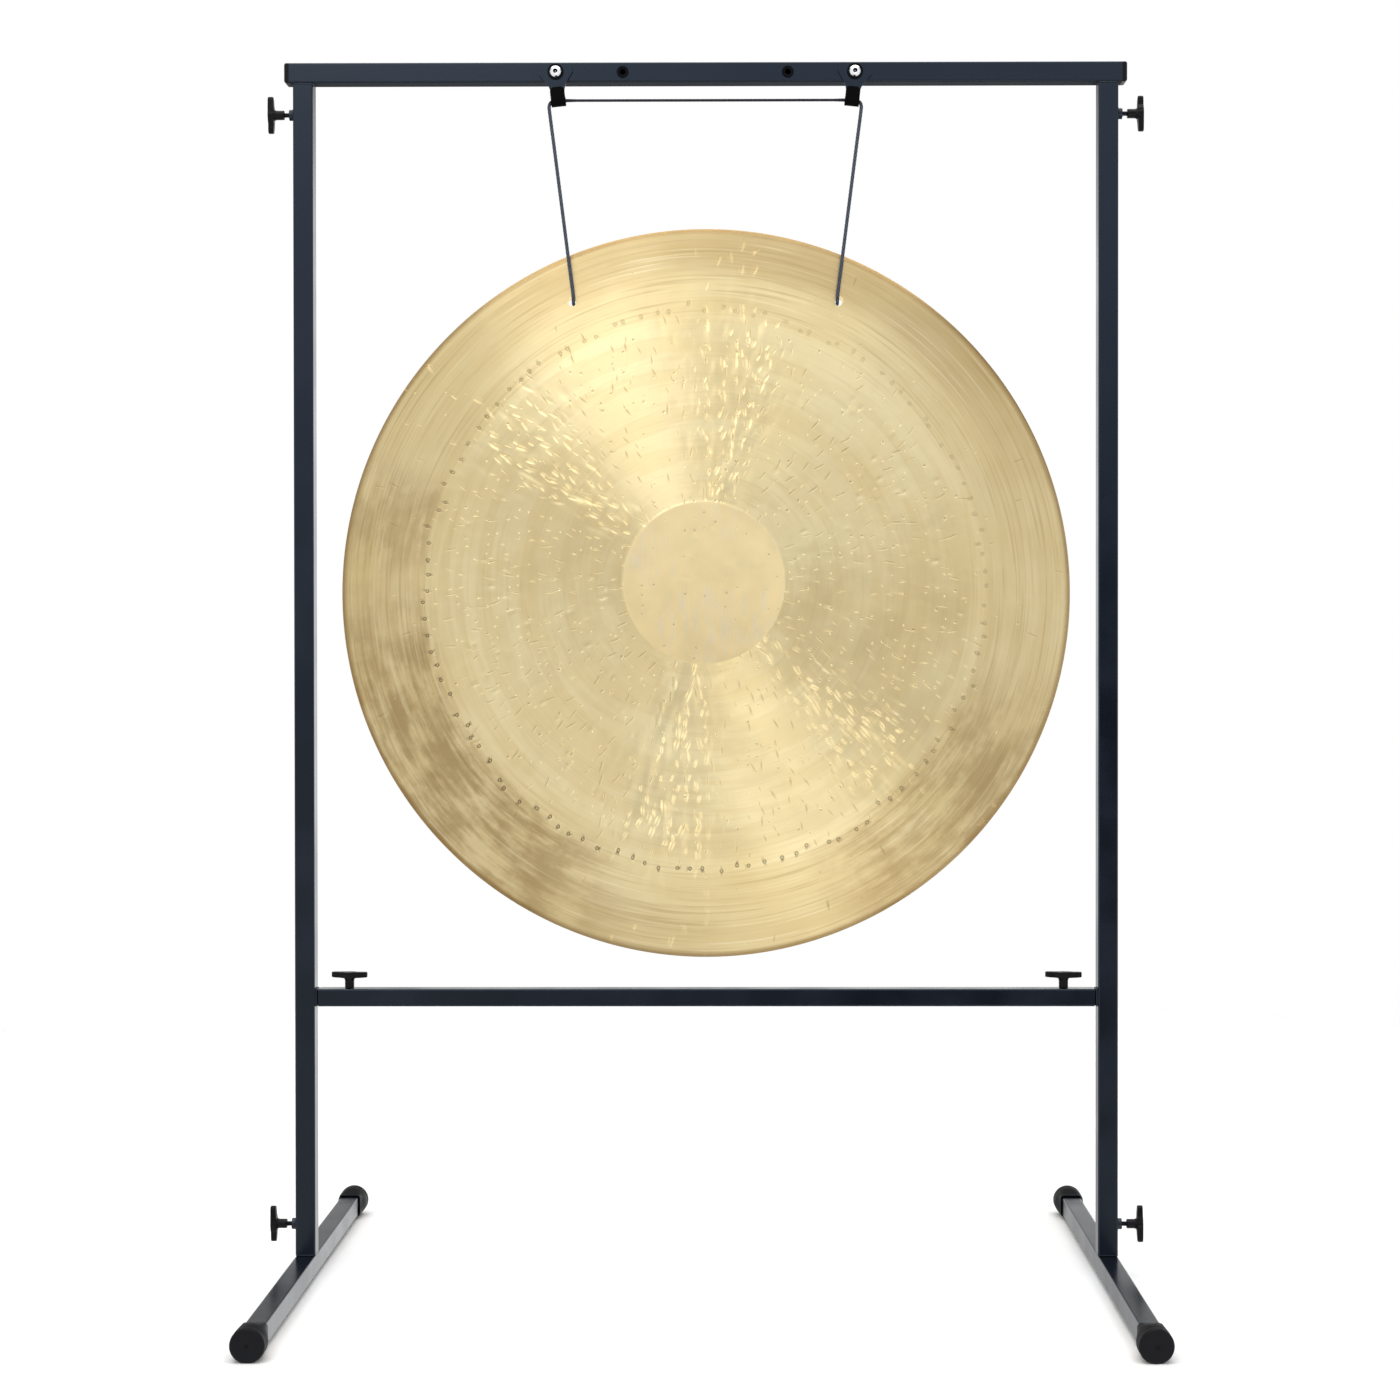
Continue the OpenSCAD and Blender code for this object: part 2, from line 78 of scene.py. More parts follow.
class Shader:
    """A material being built: add() makes a node, and a socket given as an input is joined to it."""

    def __init__(self, name, **values):
        self.material = bpy.data.materials.new(name)
        self.material.use_nodes = True
        self.tree = self.material.node_tree
        self.bsdf = self.tree.nodes["Principled BSDF"]
        self.set(**values)

    def fill(self, node, inputs):
        for key, value in inputs.items():
            if isinstance(value, bpy.types.NodeSocket):
                self.tree.links.new(value, node.inputs[key])
            else:
                node.inputs[key].default_value = value

    def add(self, kind, inputs=None, **settings):
        node = self.tree.nodes.new("ShaderNode" + kind)
        for key, value in settings.items():
            setattr(node, key, value)
        self.fill(node, inputs or {})
        return node

    def math(self, operation, a, b=0.0):
        return self.add("Math", {0: a, 1: b}, operation=operation).outputs[0]

    def times(self, a, b):
        return self.math("MULTIPLY", a, b)

    def plus(self, a, b):
        return self.math("ADD", a, b)

    def vector(self, operation, a, b=(0, 0, 0), output="Vector"):
        return self.add("VectorMath", {0: a, 1: b}, operation=operation).outputs[output]

    def dot(self, a, b):
        return self.vector("DOT_PRODUCT", a, b, "Value")

    def length(self, a):
        return self.vector("LENGTH", a, output="Value")

    def split(self, vector):
        return self.add("SeparateXYZ", {0: vector}).outputs

    def join(self, x, y, z=0.0):
        return self.add("CombineXYZ", {0: x, 1: y, 2: z}).outputs[0]

    def object_space(self):
        return self.add("TexCoord").outputs["Object"]

    def noise(self, vector, scale, detail=2.0, roughness=0.5):
        inputs = {"Vector": vector, "Scale": scale, "Detail": detail, "Roughness": roughness}
        return self.add("TexNoise", inputs).outputs["Fac"]

    def spread(self, value, low, high, to_low=0.0, to_high=1.0):
        """value taken smoothly from low..high to to_low..to_high."""
        inputs = {"Value": value, "From Min": low, "From Max": high, "To Min": to_low, "To Max": to_high}
        return self.add("MapRange", inputs, interpolation_type="SMOOTHSTEP").outputs[0]

    def mix(self, factor, a, b):
        node = self.add("Mix", data_type="RGBA")
        self.fill(node, {0: factor, 6: a, 7: b})
        return node.outputs[2]

    def bump(self, height, distance, strength=1.0, normal=None):
        inputs = {"Height": height, "Distance": distance, "Strength": strength}
        if normal is not None:
            inputs["Normal"] = normal
        return self.add("Bump", inputs).outputs["Normal"]

    def set(self, **values):
        self.fill(self.bsdf, {key.replace("_", " "): value for key, value in values.items()})


def rgb(r, g, b):
    """A colour from 0..255 screen values."""
    def linear(c):
        c /= 255
        return c / 12.92 if c <= 0.04045 else ((c + 0.055) / 1.055) ** 2.4
    return (linear(r), linear(g), linear(b), 1.0)


def paint_material():
    """Black satin paint with a little orange peel and dust, matt below, where the spray fell thin."""
    s = Shader("satin_black_paint", Specular_IOR_Level=0.42, Specular_Tint=(0.7, 0.85, 1.0, 1.0))
    place = s.object_space()
    cloud = s.noise(place, 9, 3)
    peel = s.noise(place, 380, 2)
    speck = s.spread(s.noise(place, 1100, 1), 0.76, 0.8)
    tone = s.mix(s.spread(cloud, 0.35, 0.65), rgb(5, 8, 17), rgb(9, 12, 23))
    s.set(Base_Color=s.mix(s.times(speck, 0.2), tone, rgb(96, 98, 102)))
    facing = s.split(s.add("NewGeometry").outputs["Normal"])[2]
    under = s.spread(facing, -0.3, -0.9)
    rough = s.plus(s.spread(cloud, 0.3, 0.7, 0.2, 0.28), s.times(under, 0.6))
    s.set(Roughness=rough, Normal=s.bump(peel, 0.00005, 0.5))
    return s.material


def plastic_material(name, colour, roughness, grain):
    """Moulded plastic with a spark-eroded grain."""
    s = Shader(name, Base_Color=colour, Specular_IOR_Level=0.14)
    place = s.object_space()
    cloud = s.noise(place, 60, 2)
    s.set(Roughness=s.spread(cloud, 0.3, 0.7, roughness - 0.06, roughness + 0.06))
    s.set(Normal=s.bump(s.noise(place, grain, 2), 0.00008, 0.5))
    return s.material


def rubber_material(name, dark, light, roughness, shine):
    """Rubber with a dusty bloom and fine pitting."""
    s = Shader(name, Specular_IOR_Level=shine)
    place = s.object_space()
    cloud = s.noise(place, 45, 4, 0.6)
    s.set(Base_Color=s.mix(s.spread(cloud, 0.35, 0.7), dark, light))
    s.set(Roughness=s.spread(cloud, 0.3, 0.7, roughness, roughness + 0.15))
    s.set(Normal=s.bump(s.noise(place, 1500, 3), 0.00015, 0.5))
    return s.material


def steel_material(name, colour, roughness):
    """Plated steel with faint turning marks and stains."""
    s = Shader(name, Metallic=1.0)
    place = s.object_space()
    cloud = s.noise(place, 350, 3)
    s.set(Base_Color=s.mix(s.spread(cloud, 0.3, 0.75), colour, [c * 0.72 for c in colour[:3]] + [1]))
    s.set(Roughness=s.spread(cloud, 0.3, 0.7, roughness - 0.05, roughness + 0.1))
    s.set(Normal=s.bump(s.noise(place, 2500, 2), 0.00004, 0.4))
    return s.material


PAINT = paint_material()
KNOB_PLASTIC = plastic_material("knob_plastic", rgb(5, 5, 8), 0.34, 1800)
PLUG_PLASTIC = plastic_material("plug_plastic", rgb(6, 7, 12), 0.45, 1500)
CAP_RUBBER = rubber_material("cap_rubber", rgb(4, 4, 8), rgb(10, 11, 17), 0.5, 0.18)
SLEEVE_RUBBER = rubber_material("sleeve_rubber", rgb(2, 2, 3), rgb(4, 4, 6), 0.75, 0.06)
WASHER_BLACK = steel_material("black_washer", rgb(22, 22, 25), 0.45)
DARK_ZINC = steel_material("black_zinc", rgb(58, 58, 62), 0.38)
# The stubs' near-black steel colour is partly bare steel and partly painted shade, so the narrow gaps where
# they sit read black
STUB_STEEL = steel_material("dark_stub_steel_gap_shade", rgb(24, 24, 28), 0.55)


# ---- pieces

def in_scene(name, data):
    """A new object with this data, linked into the scene."""
    made = bpy.data.objects.new(name, data)
    bpy.context.scene.collection.objects.link(made)
    return made


def from_bmesh(name, bm):
    """The mesh of a bmesh, which is freed."""
    mesh = bpy.data.meshes.new(name)
    bm.to_mesh(mesh)
    bm.free()
    return mesh


def make_piece(name, vertices, faces, material, sharp=35):
    """A mesh in the row frame, in metres, shaded smooth up to the sharp angle."""
    mesh = bpy.data.meshes.new(name)
    mesh.from_pydata([tuple(v) for v in vertices], [], faces)
    mesh.validate()
    finish_mesh(mesh, sharp)
    mesh.materials.append(material)
    return in_scene(name, mesh)


def finish_mesh(mesh, sharp):
    mesh.polygons.foreach_set("use_smooth", [True] * len(mesh.polygons))
    mesh.set_sharp_from_angle(angle=radians(sharp))
    mesh.update()


def full_turn(count):
    """Angles evenly round a circle."""
    return [tau * k / count for k in range(count)]


def polar(r, angle):
    return r * cos(angle), r * sin(angle)


def grid_faces(rows, columns):
    """Quads between rings of points."""
    faces = []
    for i in range(rows - 1):
        for j in range(columns):
            k = (j + 1) % columns
            faces.append((i * columns + j, i * columns + k, (i + 1) * columns + k, (i + 1) * columns + j))
    return faces


def apply_modifiers(piece):
    """Replaces a piece's mesh by what its modifiers make of it."""
    graph = bpy.context.evaluated_depsgraph_get()
    mesh = bpy.data.meshes.new_from_object(piece.evaluated_get(graph))
    piece.modifiers.clear()
    piece.data = mesh


def dress(piece, body, slot, *nodes):
    """Rides a piece on its body and hides the CAD nodes that it stands for."""
    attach(piece, body)
    if nodes:
        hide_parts(*nodes)


def paint_node(node, material):
    slots = NODES[node].material_slots
    for slot in slots:
        slot.material = material
    if not slots:
        NODES[node].data.materials.append(material)


# ---- camera, light and floor

# Metres, and degrees for the turns
CAMERA_PLACE = (0.0475, -3.061, 0.772)
CAMERA_LENS = 62.5
CAMERA_YAW, CAMERA_PITCH, CAMERA_ROLL = 0.31, -0.49, 0.05
CAMERA_SHIFT = (-0.0218, -0.0084)


def make_camera():
    data = bpy.data.cameras.new("camera")
    data.lens = CAMERA_LENS
    data.shift_x, data.shift_y = CAMERA_SHIFT
    camera = in_scene("camera", data)
    camera.location = CAMERA_PLACE
    camera.rotation_euler = [radians(a) for a in (90 + CAMERA_PITCH, CAMERA_ROLL, CAMERA_YAW)]
    bpy.context.scene.camera = camera


def area_light(name, place, target, size, power):
    data = bpy.data.lights.new(name, "AREA")
    data.shape = "RECTANGLE"
    data.size, data.size_y = size
    data.energy = power
    light = in_scene(name, data)
    light.location = place
    light.rotation_euler = (Vector(target) - Vector(place)).to_track_quat("-Z", "Y").to_euler()


NEAR_SKY = (1.032, 1.164, 1.44, 1)


def make_world():
    """A white room for the camera. What the object mirrors is white at its sides and dim high behind it.

    Round the camera it is bluish above, dim at the lower left and black at the lower right. Two soft
    boxes, up to the left and down to the right, draw the fans on the gong."""
    world = bpy.data.worlds.new("studio")
    bpy.context.scene.world = world
    world.use_nodes = True
    s = Shader.__new__(Shader)
    s.tree = world.node_tree
    ray = s.add("TexCoord").outputs["Generated"]
    x, y, z = s.split(ray)
    mix = s.mix

    def patch(direction, inner, outer):
        limits = [cos(radians(angle)) for angle in (outer, inner)]
        return s.spread(s.dot(ray, Vector(direction).normalized()), *limits)

    def grey(level):
        return [level, level, level, 1]

    low_left = s.spread(x, 0.02, -0.1)
    near = mix(s.spread(z, 0.02, 0.16), mix(low_left, grey(0.0), grey(0.6)), NEAR_SKY)
    wide = mix(s.spread(z, -0.3, 0.2), grey(1.16), grey(1.18))
    wide = mix(patch((-0.23, -0.78, 0.58), 10, 14), wide, grey(1.5))
    wide = mix(patch((0.2, -0.85, -0.48), 9, 13), wide, grey(2.6))
    front = mix(patch((0, -1, 0.02), 12, 21), wide, near)
    behind = mix(s.spread(z, 0.16, 0.27), mix(s.spread(x, -0.3, 0.3), grey(1.1), grey(1.7)), grey(0.2))
    behind = mix(s.spread(z, -0.02, -0.3), behind, mix(s.spread(x, -0.1, 0.1), grey(0.66), grey(1.25)))
    light = s.tree.nodes["Background"]
    s.fill(light, {"Color": mix(s.spread(y, -0.25, 0.2), front, behind), "Strength": 1.0})
    backdrop = s.add("Background", {"Color": (1, 1, 1, 1), "Strength": 1.0})
    seen = s.add("LightPath").outputs["Is Camera Ray"]
    both = s.add("MixShader", {0: seen, 1: light.outputs[0], 2: backdrop.outputs[0]})
    s.tree.links.new(both.outputs[0], s.tree.nodes["World Output"].inputs["Surface"])


FLOOR_RADIUS, FLOOR_SIDES = 2600 * MM, 96


def make_floor():
    s = Shader("pale_floor", Roughness=0.9)
    cloud = s.noise(s.object_space(), 1.5, 3)
    s.set(Base_Color=s.mix(cloud, rgb(246, 246, 246), rgb(252, 252, 252)))
    ring = [(*polar(FLOOR_RADIUS, a), 0) for a in full_turn(FLOOR_SIDES)]
    floor = make_piece("floor", ring, [tuple(range(FLOOR_SIDES))], s.material)
    floor.visible_glossy = False


def make_lights():
    low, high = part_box("gong_disc")
    centre = (low + high) / 2
    area_light("key", centre + Vector((-0.95, -2.7, 2.05)), centre, (1.3, 1.3), 9)
    area_light("top", (0, 0.3, 3.6), (0, 0, 0), (4, 4), 120)


make_camera()
make_world()
make_floor()
make_lights()


# ---- cord

CORD_D = 4.4 * MM
STAND_TOP = CAD_BOX[1].z / MM
CORD_Y, CORD_Z = -19.4, -49.695
TROUGH_END, BEND_START = 185.6, 186.6
HOOK_BEND_R, HOOK_BEND = 8.4, 96
HOLE_BEND_R, HOLE_SLANT = 9.0, 52
HOLE_AT = np.array([-165, -16.88, -302])
KNOT_HALF = 9.0
BEHIND = [(-140, -9.9, -307.7), (-90, -9.8, -308.1), (-40, -9.6, -308.4), (-14, -9.5, -308.5),
          (-KNOT_HALF, -9.5, -308.5)]


def left_route():
    """The loop's left half from hook to knot, as in the CAD: X, Y and the height over the stand's top."""
    turn = np.radians(np.arange(0, HOOK_BEND + 1, HOOK_BEND / 8))[:, None]
    hook_end = np.hstack([-BEND_START - HOOK_BEND_R * np.sin(turn), CORD_Y + 0 * turn,
                          CORD_Z - HOOK_BEND_R * (1 - np.cos(turn))])
    turn, slant = np.radians(np.arange(0, HOLE_SLANT + 1, HOLE_SLANT / 4))[:, None], radians(HOLE_SLANT)
    into_hole = HOLE_AT - HOLE_BEND_R * np.hstack([0 * turn, np.cos(turn) - cos(slant),
                                                   np.sin(turn) - sin(slant)])
    turn = np.radians(np.arange(15, 91, 15))[:, None]
    out_of_hole = HOLE_AT + HOLE_BEND_R * np.hstack([1 - np.cos(turn), np.sin(turn) * sin(slant),
                                                     -np.sin(turn) * cos(slant)])
    leg = [(1 - t) * hook_end[-1] + t * into_hole[0] for t in (0.2, 0.4, 0.6, 0.8)]
    return np.vstack([(-TROUGH_END, CORD_Y, CORD_Z), hook_end, leg, into_hole, out_of_hole, BEHIND])


CORD_RING_STEP = 0.9 * MM
CORD_SIDES = 24
PLAIT_STRANDS = 4
PLAIT_PITCH = 11 * MM
PLAIT_DEPTH = 0.3 * MM
TOP_RUN_FLAT = 0.74
FREE_RUN, FREE_FADE = 172 * MM, 12 * MM


def smooth_line(points, step):
    """Points about step apart on a smooth curve through the given ones."""
    p = np.array(points, float)
    ends = np.vstack([2 * p[0] - p[1], p, 2 * p[-1] - p[-2]])
    dense = []
    for a, b, c, d in zip(ends, ends[1:], ends[2:], ends[3:]):
        parts = max(2, int(np.linalg.norm(c - b) / step * 4))
        for t in np.arange(parts) / parts:
            ab, bc, cd = (max(np.linalg.norm(v - u) ** 0.5, 1e-6) for u, v in ((a, b), (b, c), (c, d)))
            m1 = (b - a) / ab - (c - a) / (ab + bc) + (c - b) / bc
            m2 = (c - b) / bc - (d - b) / (bc + cd) + (d - c) / cd
            m1, m2 = m1 * bc, m2 * bc
            dense.append((2 * t**3 - 3 * t**2 + 1) * b + (t**3 - 2 * t**2 + t) * m1
                         + (3 * t**2 - 2 * t**3) * c + (t**3 - t**2) * m2)
    dense = np.vstack(dense + [p[-1]])
    along = np.concatenate([[0], np.cumsum(np.linalg.norm(np.diff(dense, axis=0), axis=1))])
    at = np.linspace(0, along[-1], int(round(along[-1] / step)) + 1)
    return np.stack([np.interp(at, along, dense[:, k]) for k in range(3)], axis=1)


def frames_along(line):
    """A pair of cross directions that don't twist along a line."""
    tangents = np.gradient(line, axis=0)
    tangents /= np.linalg.norm(tangents, axis=1)[:, None]
    across = np.zeros_like(line)
    v = np.array([0.0, 1.0, 0.0])
    for i, t in enumerate(tangents):
        v = v - (v @ t) * t
        v /= np.linalg.norm(v)
        across[i] = v
    return across, np.cross(tangents, across)


def plait_height(u, v):
    """Height from 0 to 1 of a plaited surface, u once round and v in pitches along."""
    one, two = PLAIT_STRANDS * u + v, PLAIT_STRANDS * u - v
    over = np.mod(np.floor(one) + np.floor(two), 2) < 1
    ridges = [np.sqrt(np.abs(np.sin(np.pi * w))) for w in (one, two)]
    return np.where(over, *ridges) * 0.75 + 0.25 * np.minimum(*ridges)


def cord_tube(name, line, material, squeeze=None, sides=CORD_SIDES):
    """A plaited tube along a line, with a UV map: once round in U, metres along in V."""
    across, up = frames_along(line)
    step = np.linalg.norm(line[1] - line[0])
    u = np.arange(sides) / sides
    v = np.arange(len(line)) * step
    uu, vv = np.meshgrid(u, v)
    height = plait_height(uu, vv / PLAIT_PITCH * PLAIT_STRANDS / 2)
    radius = CORD_D / 2 + 0.05 * MM - PLAIT_DEPTH * (1 - height)
    angle = 2 * np.pi * uu
    out, aloft = (radius * np.cos(angle))[..., None], (radius * np.sin(angle))[..., None]
    offset = out * across[:, None] + aloft * up[:, None]
    if squeeze is not None:
        offset[..., 2] *= squeeze[:, None]
    points = (line[:, None] + offset).reshape(-1, 3)
    rows = len(line)
    faces = [f[::-1] for f in grid_faces(rows, sides)]
    start, end = len(points), len(points) + 1
    points = np.vstack([points, line[0], line[-1]])
    faces += [(start, j, (j + 1) % sides) for j in range(sides)]
    last = (rows - 1) * sides
    faces += [(end, last + (j + 1) % sides, last + j) for j in range(sides)]
    piece = make_piece(name, points, faces, material, sharp=70)
    uv = piece.data.uv_layers.new(name="cord")
    loops = np.zeros(len(piece.data.loops), np.int32)
    piece.data.loops.foreach_get("vertex_index", loops)
    ring, side = np.divmod(np.minimum(loops, rows * sides - 1), sides)
    flat = np.stack([side / sides, ring * step], axis=1)
    for face in piece.data.polygons:
        around = flat[face.loop_start:face.loop_start + face.loop_total, 0]
        if len(around) == 4 and around.max() > 0.9:
            around[around < 0.1] += 1
    uv.data.foreach_set("uv", flat.astype(np.float32).ravel())
    return piece


def cord_material():
    """Dark grey-blue plaited polyester with fine fibres, with painted light in its colour: a painted
    highlight on the strand crowns, painted shade in the valleys and on the run over the top bar.
    """
    s = Shader("plaited_cord", Roughness=0.75, Sheen_Weight=0.12, Sheen_Roughness=0.4,
               Specular_IOR_Level=0.2)
    uv = s.add("UVMap", uv_map="cord").outputs[0]
    u, v, _ = s.split(uv)
    turns = s.times(u, PLAIT_STRANDS)
    pitches = s.times(v, PLAIT_STRANDS / 2 / PLAIT_PITCH)
    one, two = s.plus(turns, pitches), s.math("SUBTRACT", turns, pitches)
    parity = s.math("FLOORED_MODULO", s.plus(s.math("FLOOR", one), s.math("FLOOR", two)), 2.0)
    wave = [s.math("ABSOLUTE", s.math("SINE", s.times(w, pi))) for w in (one, two)]
    over = s.math("LESS_THAN", parity, 1.0)
    crown = s.add("Mix", {0: over, 2: wave[1], 3: wave[0]}).outputs[0]
    cloud = s.noise(s.object_space(), 260, 3)
    # low is the painted shade in the valleys between strands, high the painted highlight on their crowns
    low = s.mix(cloud, rgb(14, 15, 20), rgb(28, 30, 38))
    high = s.mix(cloud, rgb(56, 61, 74), rgb(92, 99, 113))
    # Painted shade: the cord at the height of the run over the top bar is darkened towards near black, by
    # up to 0.8
    z = s.split(s.object_space())[2]
    top_run_painted_shade = s.times(s.spread(z, *((STAND_TOP + CORD_Z + d) * MM for d in (-6, -2))), 0.8)
    s.set(Base_Color=s.mix(top_run_painted_shade, s.mix(s.spread(crown, 0.25, 0.95), low, high), rgb(10, 11, 14)))
    fibre = s.noise(s.join(s.times(one, 14.0), s.times(two, 1.5)), 2.2, 2)
    s.set(Normal=s.bump(fibre, 0.00012, 0.8))
    return s.material


CORD = cord_material()


def make_cord():
    left = left_route() + (0, 0, STAND_TOP)
    across = [(x, CORD_Y, left[0, 2]) for x in (-124, -62, 0, 62, 124)]
    line = smooth_line(np.vstack([left[::-1], across, left * (-1, 1, 1)]) * MM, CORD_RING_STEP)
    on_top = np.clip((line[:, 2] - left[0, 2] * MM) / (2.5 * MM) + 1, 0, 1)
    free = np.clip((FREE_RUN - np.abs(line[:, 0])) / FREE_FADE, 0, 1)
    squeeze = 1 - (1 - TOP_RUN_FLAT) * on_top * (0.35 + 0.65 * free)
    cord = cord_tube("suspension_cord", line, CORD, squeeze)
    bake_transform(cord)
    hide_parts("cord_left", "cord_right", "cord_top")
    knot = make_knot(Vector(left[-1] * (0, 1, 1)) * MM)


def make_knot(centre):
    """A barrel knot: each end of the cord wound three times round the other, with short cut ends."""
    turns, pitch, coil = 3.2, 4.5 * MM, 4.55 * MM
    angles = np.linspace(0, 2 * np.pi * turns, int(turns * 40))
    x = (angles / (2 * np.pi) - turns / 2) * pitch
    coil_line = np.stack([x, coil * np.cos(angles), coil * np.sin(angles)], axis=1)
    lead_in = coil_line[0] + np.array([[-5, -1.0, 3.2], [-2.2, 0.2, 1.6]]) * MM
    lead_out = coil_line[-1] + np.array([[2.2, 0.2, -1.2], [5.5, -0.4, -3.4]]) * MM
    line = smooth_line(np.vstack([lead_in, coil_line[::4], lead_out]), CORD_RING_STEP) + np.array(centre)
    knot = cord_tube("cord_knot_wound", line, CORD, sides=16)
    dress(knot, "gong", "cord", "cord_knot")
    return knot


make_cord()


# ---- gong

GONG_LOW, GONG_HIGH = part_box("gong_disc")
GONG_CENTRE = Vector(((GONG_LOW.x + GONG_HIGH.x) / 2, GONG_LOW.y, (GONG_LOW.z + GONG_HIGH.z) / 2))
GONG_R = (GONG_HIGH.x - GONG_LOW.x) / 2 / MM
SHEET = 2.0
CENTRE_R = 101.0
CENTRE_BEVEL = 1.6
CENTRE_STEP = 0.35
DISH = 9.85
RIM_R = 8.0
RIM_START = GONG_R - RIM_R
HOLE_X, HOLE_UP, HOLE_R = 166.4, 363.0, 4.25
RING_STEP = 4.6
SEGMENTS = 720
BACK_COARSER = 2
PUNCH_RING = 349.0
PUNCHES, PITS, WAVES = 112, 150, 150
DISC_SHIFT = np.array([-2.0, 13.0])
# Bands of harder strokes: degrees from 12 o'clock, spread, reach and number
RAGGED_EDGES = [(-50, 7, 350, 160), (8, 7, 400, 190), (135, 7, 360, 150), (189, 7, 380, 170)]


def fall(r):
    """How far back the sheet's front lies at a radius, inside the rim."""
    r = np.asarray(r, float)
    bevel = np.clip((r - CENTRE_R) / CENTRE_BEVEL, 0, 1)
    dish = np.clip((r - CENTRE_R - CENTRE_BEVEL) / (RIM_START - CENTRE_R - CENTRE_BEVEL), 0, 1)
    return CENTRE_STEP * bevel * bevel * (3 - 2 * bevel) + DISH * dish ** 2


CELL = 0.5
MAP_HALF = GONG_R + 4


class Relief:
    """The gong's hammered relief as a height map, in millimetres, over its face."""

    def __init__(self, seed):
        self.random = np.random.default_rng(seed)
        self.size = int(2 * MAP_HALF / CELL) + 2
        self.map = np.zeros((self.size, self.size), np.float32)

    def patch(self, x, z, reach):
        """The slices and the local coordinates of the cells within reach of a point."""
        i, j = int((x + MAP_HALF) / CELL), int((z + MAP_HALF) / CELL)
        n = int(reach / CELL) + 1
        rows = slice(max(j - n, 0), min(j + n + 1, self.size))
        columns = slice(max(i - n, 0), min(i + n + 1, self.size))
        px = np.arange(columns.start, columns.stop) * CELL - MAP_HALF - x
        pz = np.arange(rows.start, rows.stop) * CELL - MAP_HALF - z
        return (rows, columns), px[None, :], pz[:, None]

    def dent(self, x, z, depth, along, across, angle):
        """A long dent whose length lies at an angle from +X."""
        where, px, pz = self.patch(x, z, 2.6 * max(along, across))
        c, s = cos(angle), sin(angle)
        a, b = (px * c + pz * s) / along, (pz * c - px * s) / across
        self.map[where] -= depth * np.exp(-0.5 * (a * a + b * b))

    def punch(self, x, z, depth):
        """A small ring struck by a hollow punch."""
        where, px, pz = self.patch(x, z, 4)
        r = np.sqrt(px * px + pz * pz)
        groove, lip = np.exp(-((r - 1.9) / 0.75) ** 2), np.exp(-((r - 3.1) / 0.6) ** 2)
        self.map[where] -= depth * (groove - 0.25 * lip)

    def at(self, x, z):
        """Heights at points, between the cells."""
        u, v = (np.asarray(x) + MAP_HALF) / CELL, (np.asarray(z) + MAP_HALF) / CELL
        i, j = np.clip(u.astype(int), 0, self.size - 2), np.clip(v.astype(int), 0, self.size - 2)
        fu, fv = u - i, v - j
        m = self.map
        low = m[j, i] * (1 - fu) + m[j, i + 1] * fu
        high = m[j + 1, i] * (1 - fu) + m[j + 1, i + 1] * fu
        return low * (1 - fv) + high * fv


def stroke(relief, r, angle, depth, along, across):
    """One radial hammer stroke."""
    rnd = relief.random
    depth *= rnd.uniform(0.3, 1.0) * rnd.choice([1, 1, -0.7])
    relief.dent(*polar(r, angle), depth, along * rnd.uniform(0.6, 1.5),
                across * rnd.uniform(0.8, 1.4), angle + rnd.normal(0, 0.13))


def hammered(relief, marks, r_low, r_high, depth, along, across):
    """Radial hammer strokes, spread evenly over a ring of the face."""
    for _ in range(marks):
        r = sqrt(relief.random.uniform(r_low ** 2, r_high ** 2))
        stroke(relief, r, relief.random.uniform(0, tau), depth, along, across)


def front_relief():
    """The face's waves and strokes, with bands of harder strokes."""
    relief = Relief(7)
    rnd = relief.random
    for _ in range(WAVES):
        r, a = GONG_R * sqrt(rnd.uniform(0, 1)), rnd.uniform(0, tau)
        wide = rnd.uniform(22, 50)
        relief.dent(*polar(r, a), rnd.uniform(-0.12, 0.12), wide * 1.3, wide, a)
    hammered(relief, 520, 104, 335, 0.06, 9, 3.2)
    hammered(relief, 260, 335, 440, 0.03, 9, 4)
    hammered(relief, 90, 0, 100, 0.03, 6, 4)
    for clock, spread, reach, count in RAGGED_EDGES:
        for _ in range(count):
            r = rnd.uniform(106, reach)
            angle = radians(90 - clock - rnd.normal(0, spread))
            stroke(relief, r, angle, 0.3, 8, 2.9)
    return relief


def scattered_pits(rnd, count):
    """Places of the small round dents, thinning out towards the rim."""
    spots = []
    while len(spots) < count:
        r, a = 330 * sqrt(rnd.uniform(0.0, 1)), rnd.uniform(0, tau)
        if rnd.uniform() < 1.15 - r / 420:
            spots.append((*polar(r, a), rnd.uniform(0.35, 1)))
    return spots


def punch_spots(rnd):
    """Places and depths of the punch marks, deepest at the lower left, faint at the upper right."""
    spots = []
    for k in range(PUNCHES):
        a = tau * (k + rnd.uniform(-0.3, 0.3)) / PUNCHES
        r = PUNCH_RING + rnd.normal(0, 3.0)
        spots.append((*polar(r, a), 0.64 - 0.36 * cos(a - radians(50))))
    return spots


def segments_at(r):
    """How many points a ring holds, halved towards the middle."""
    n = SEGMENTS
    while n > 60 and r < GONG_R * n / SEGMENTS / 1.9:
        n //= 2
    return n


def ring_points(r, depth, count):
    a = 2 * np.pi * np.arange(count) / count
    return np.stack([r * np.cos(a), np.full(count, float(depth)), r * np.sin(a)], axis=1)


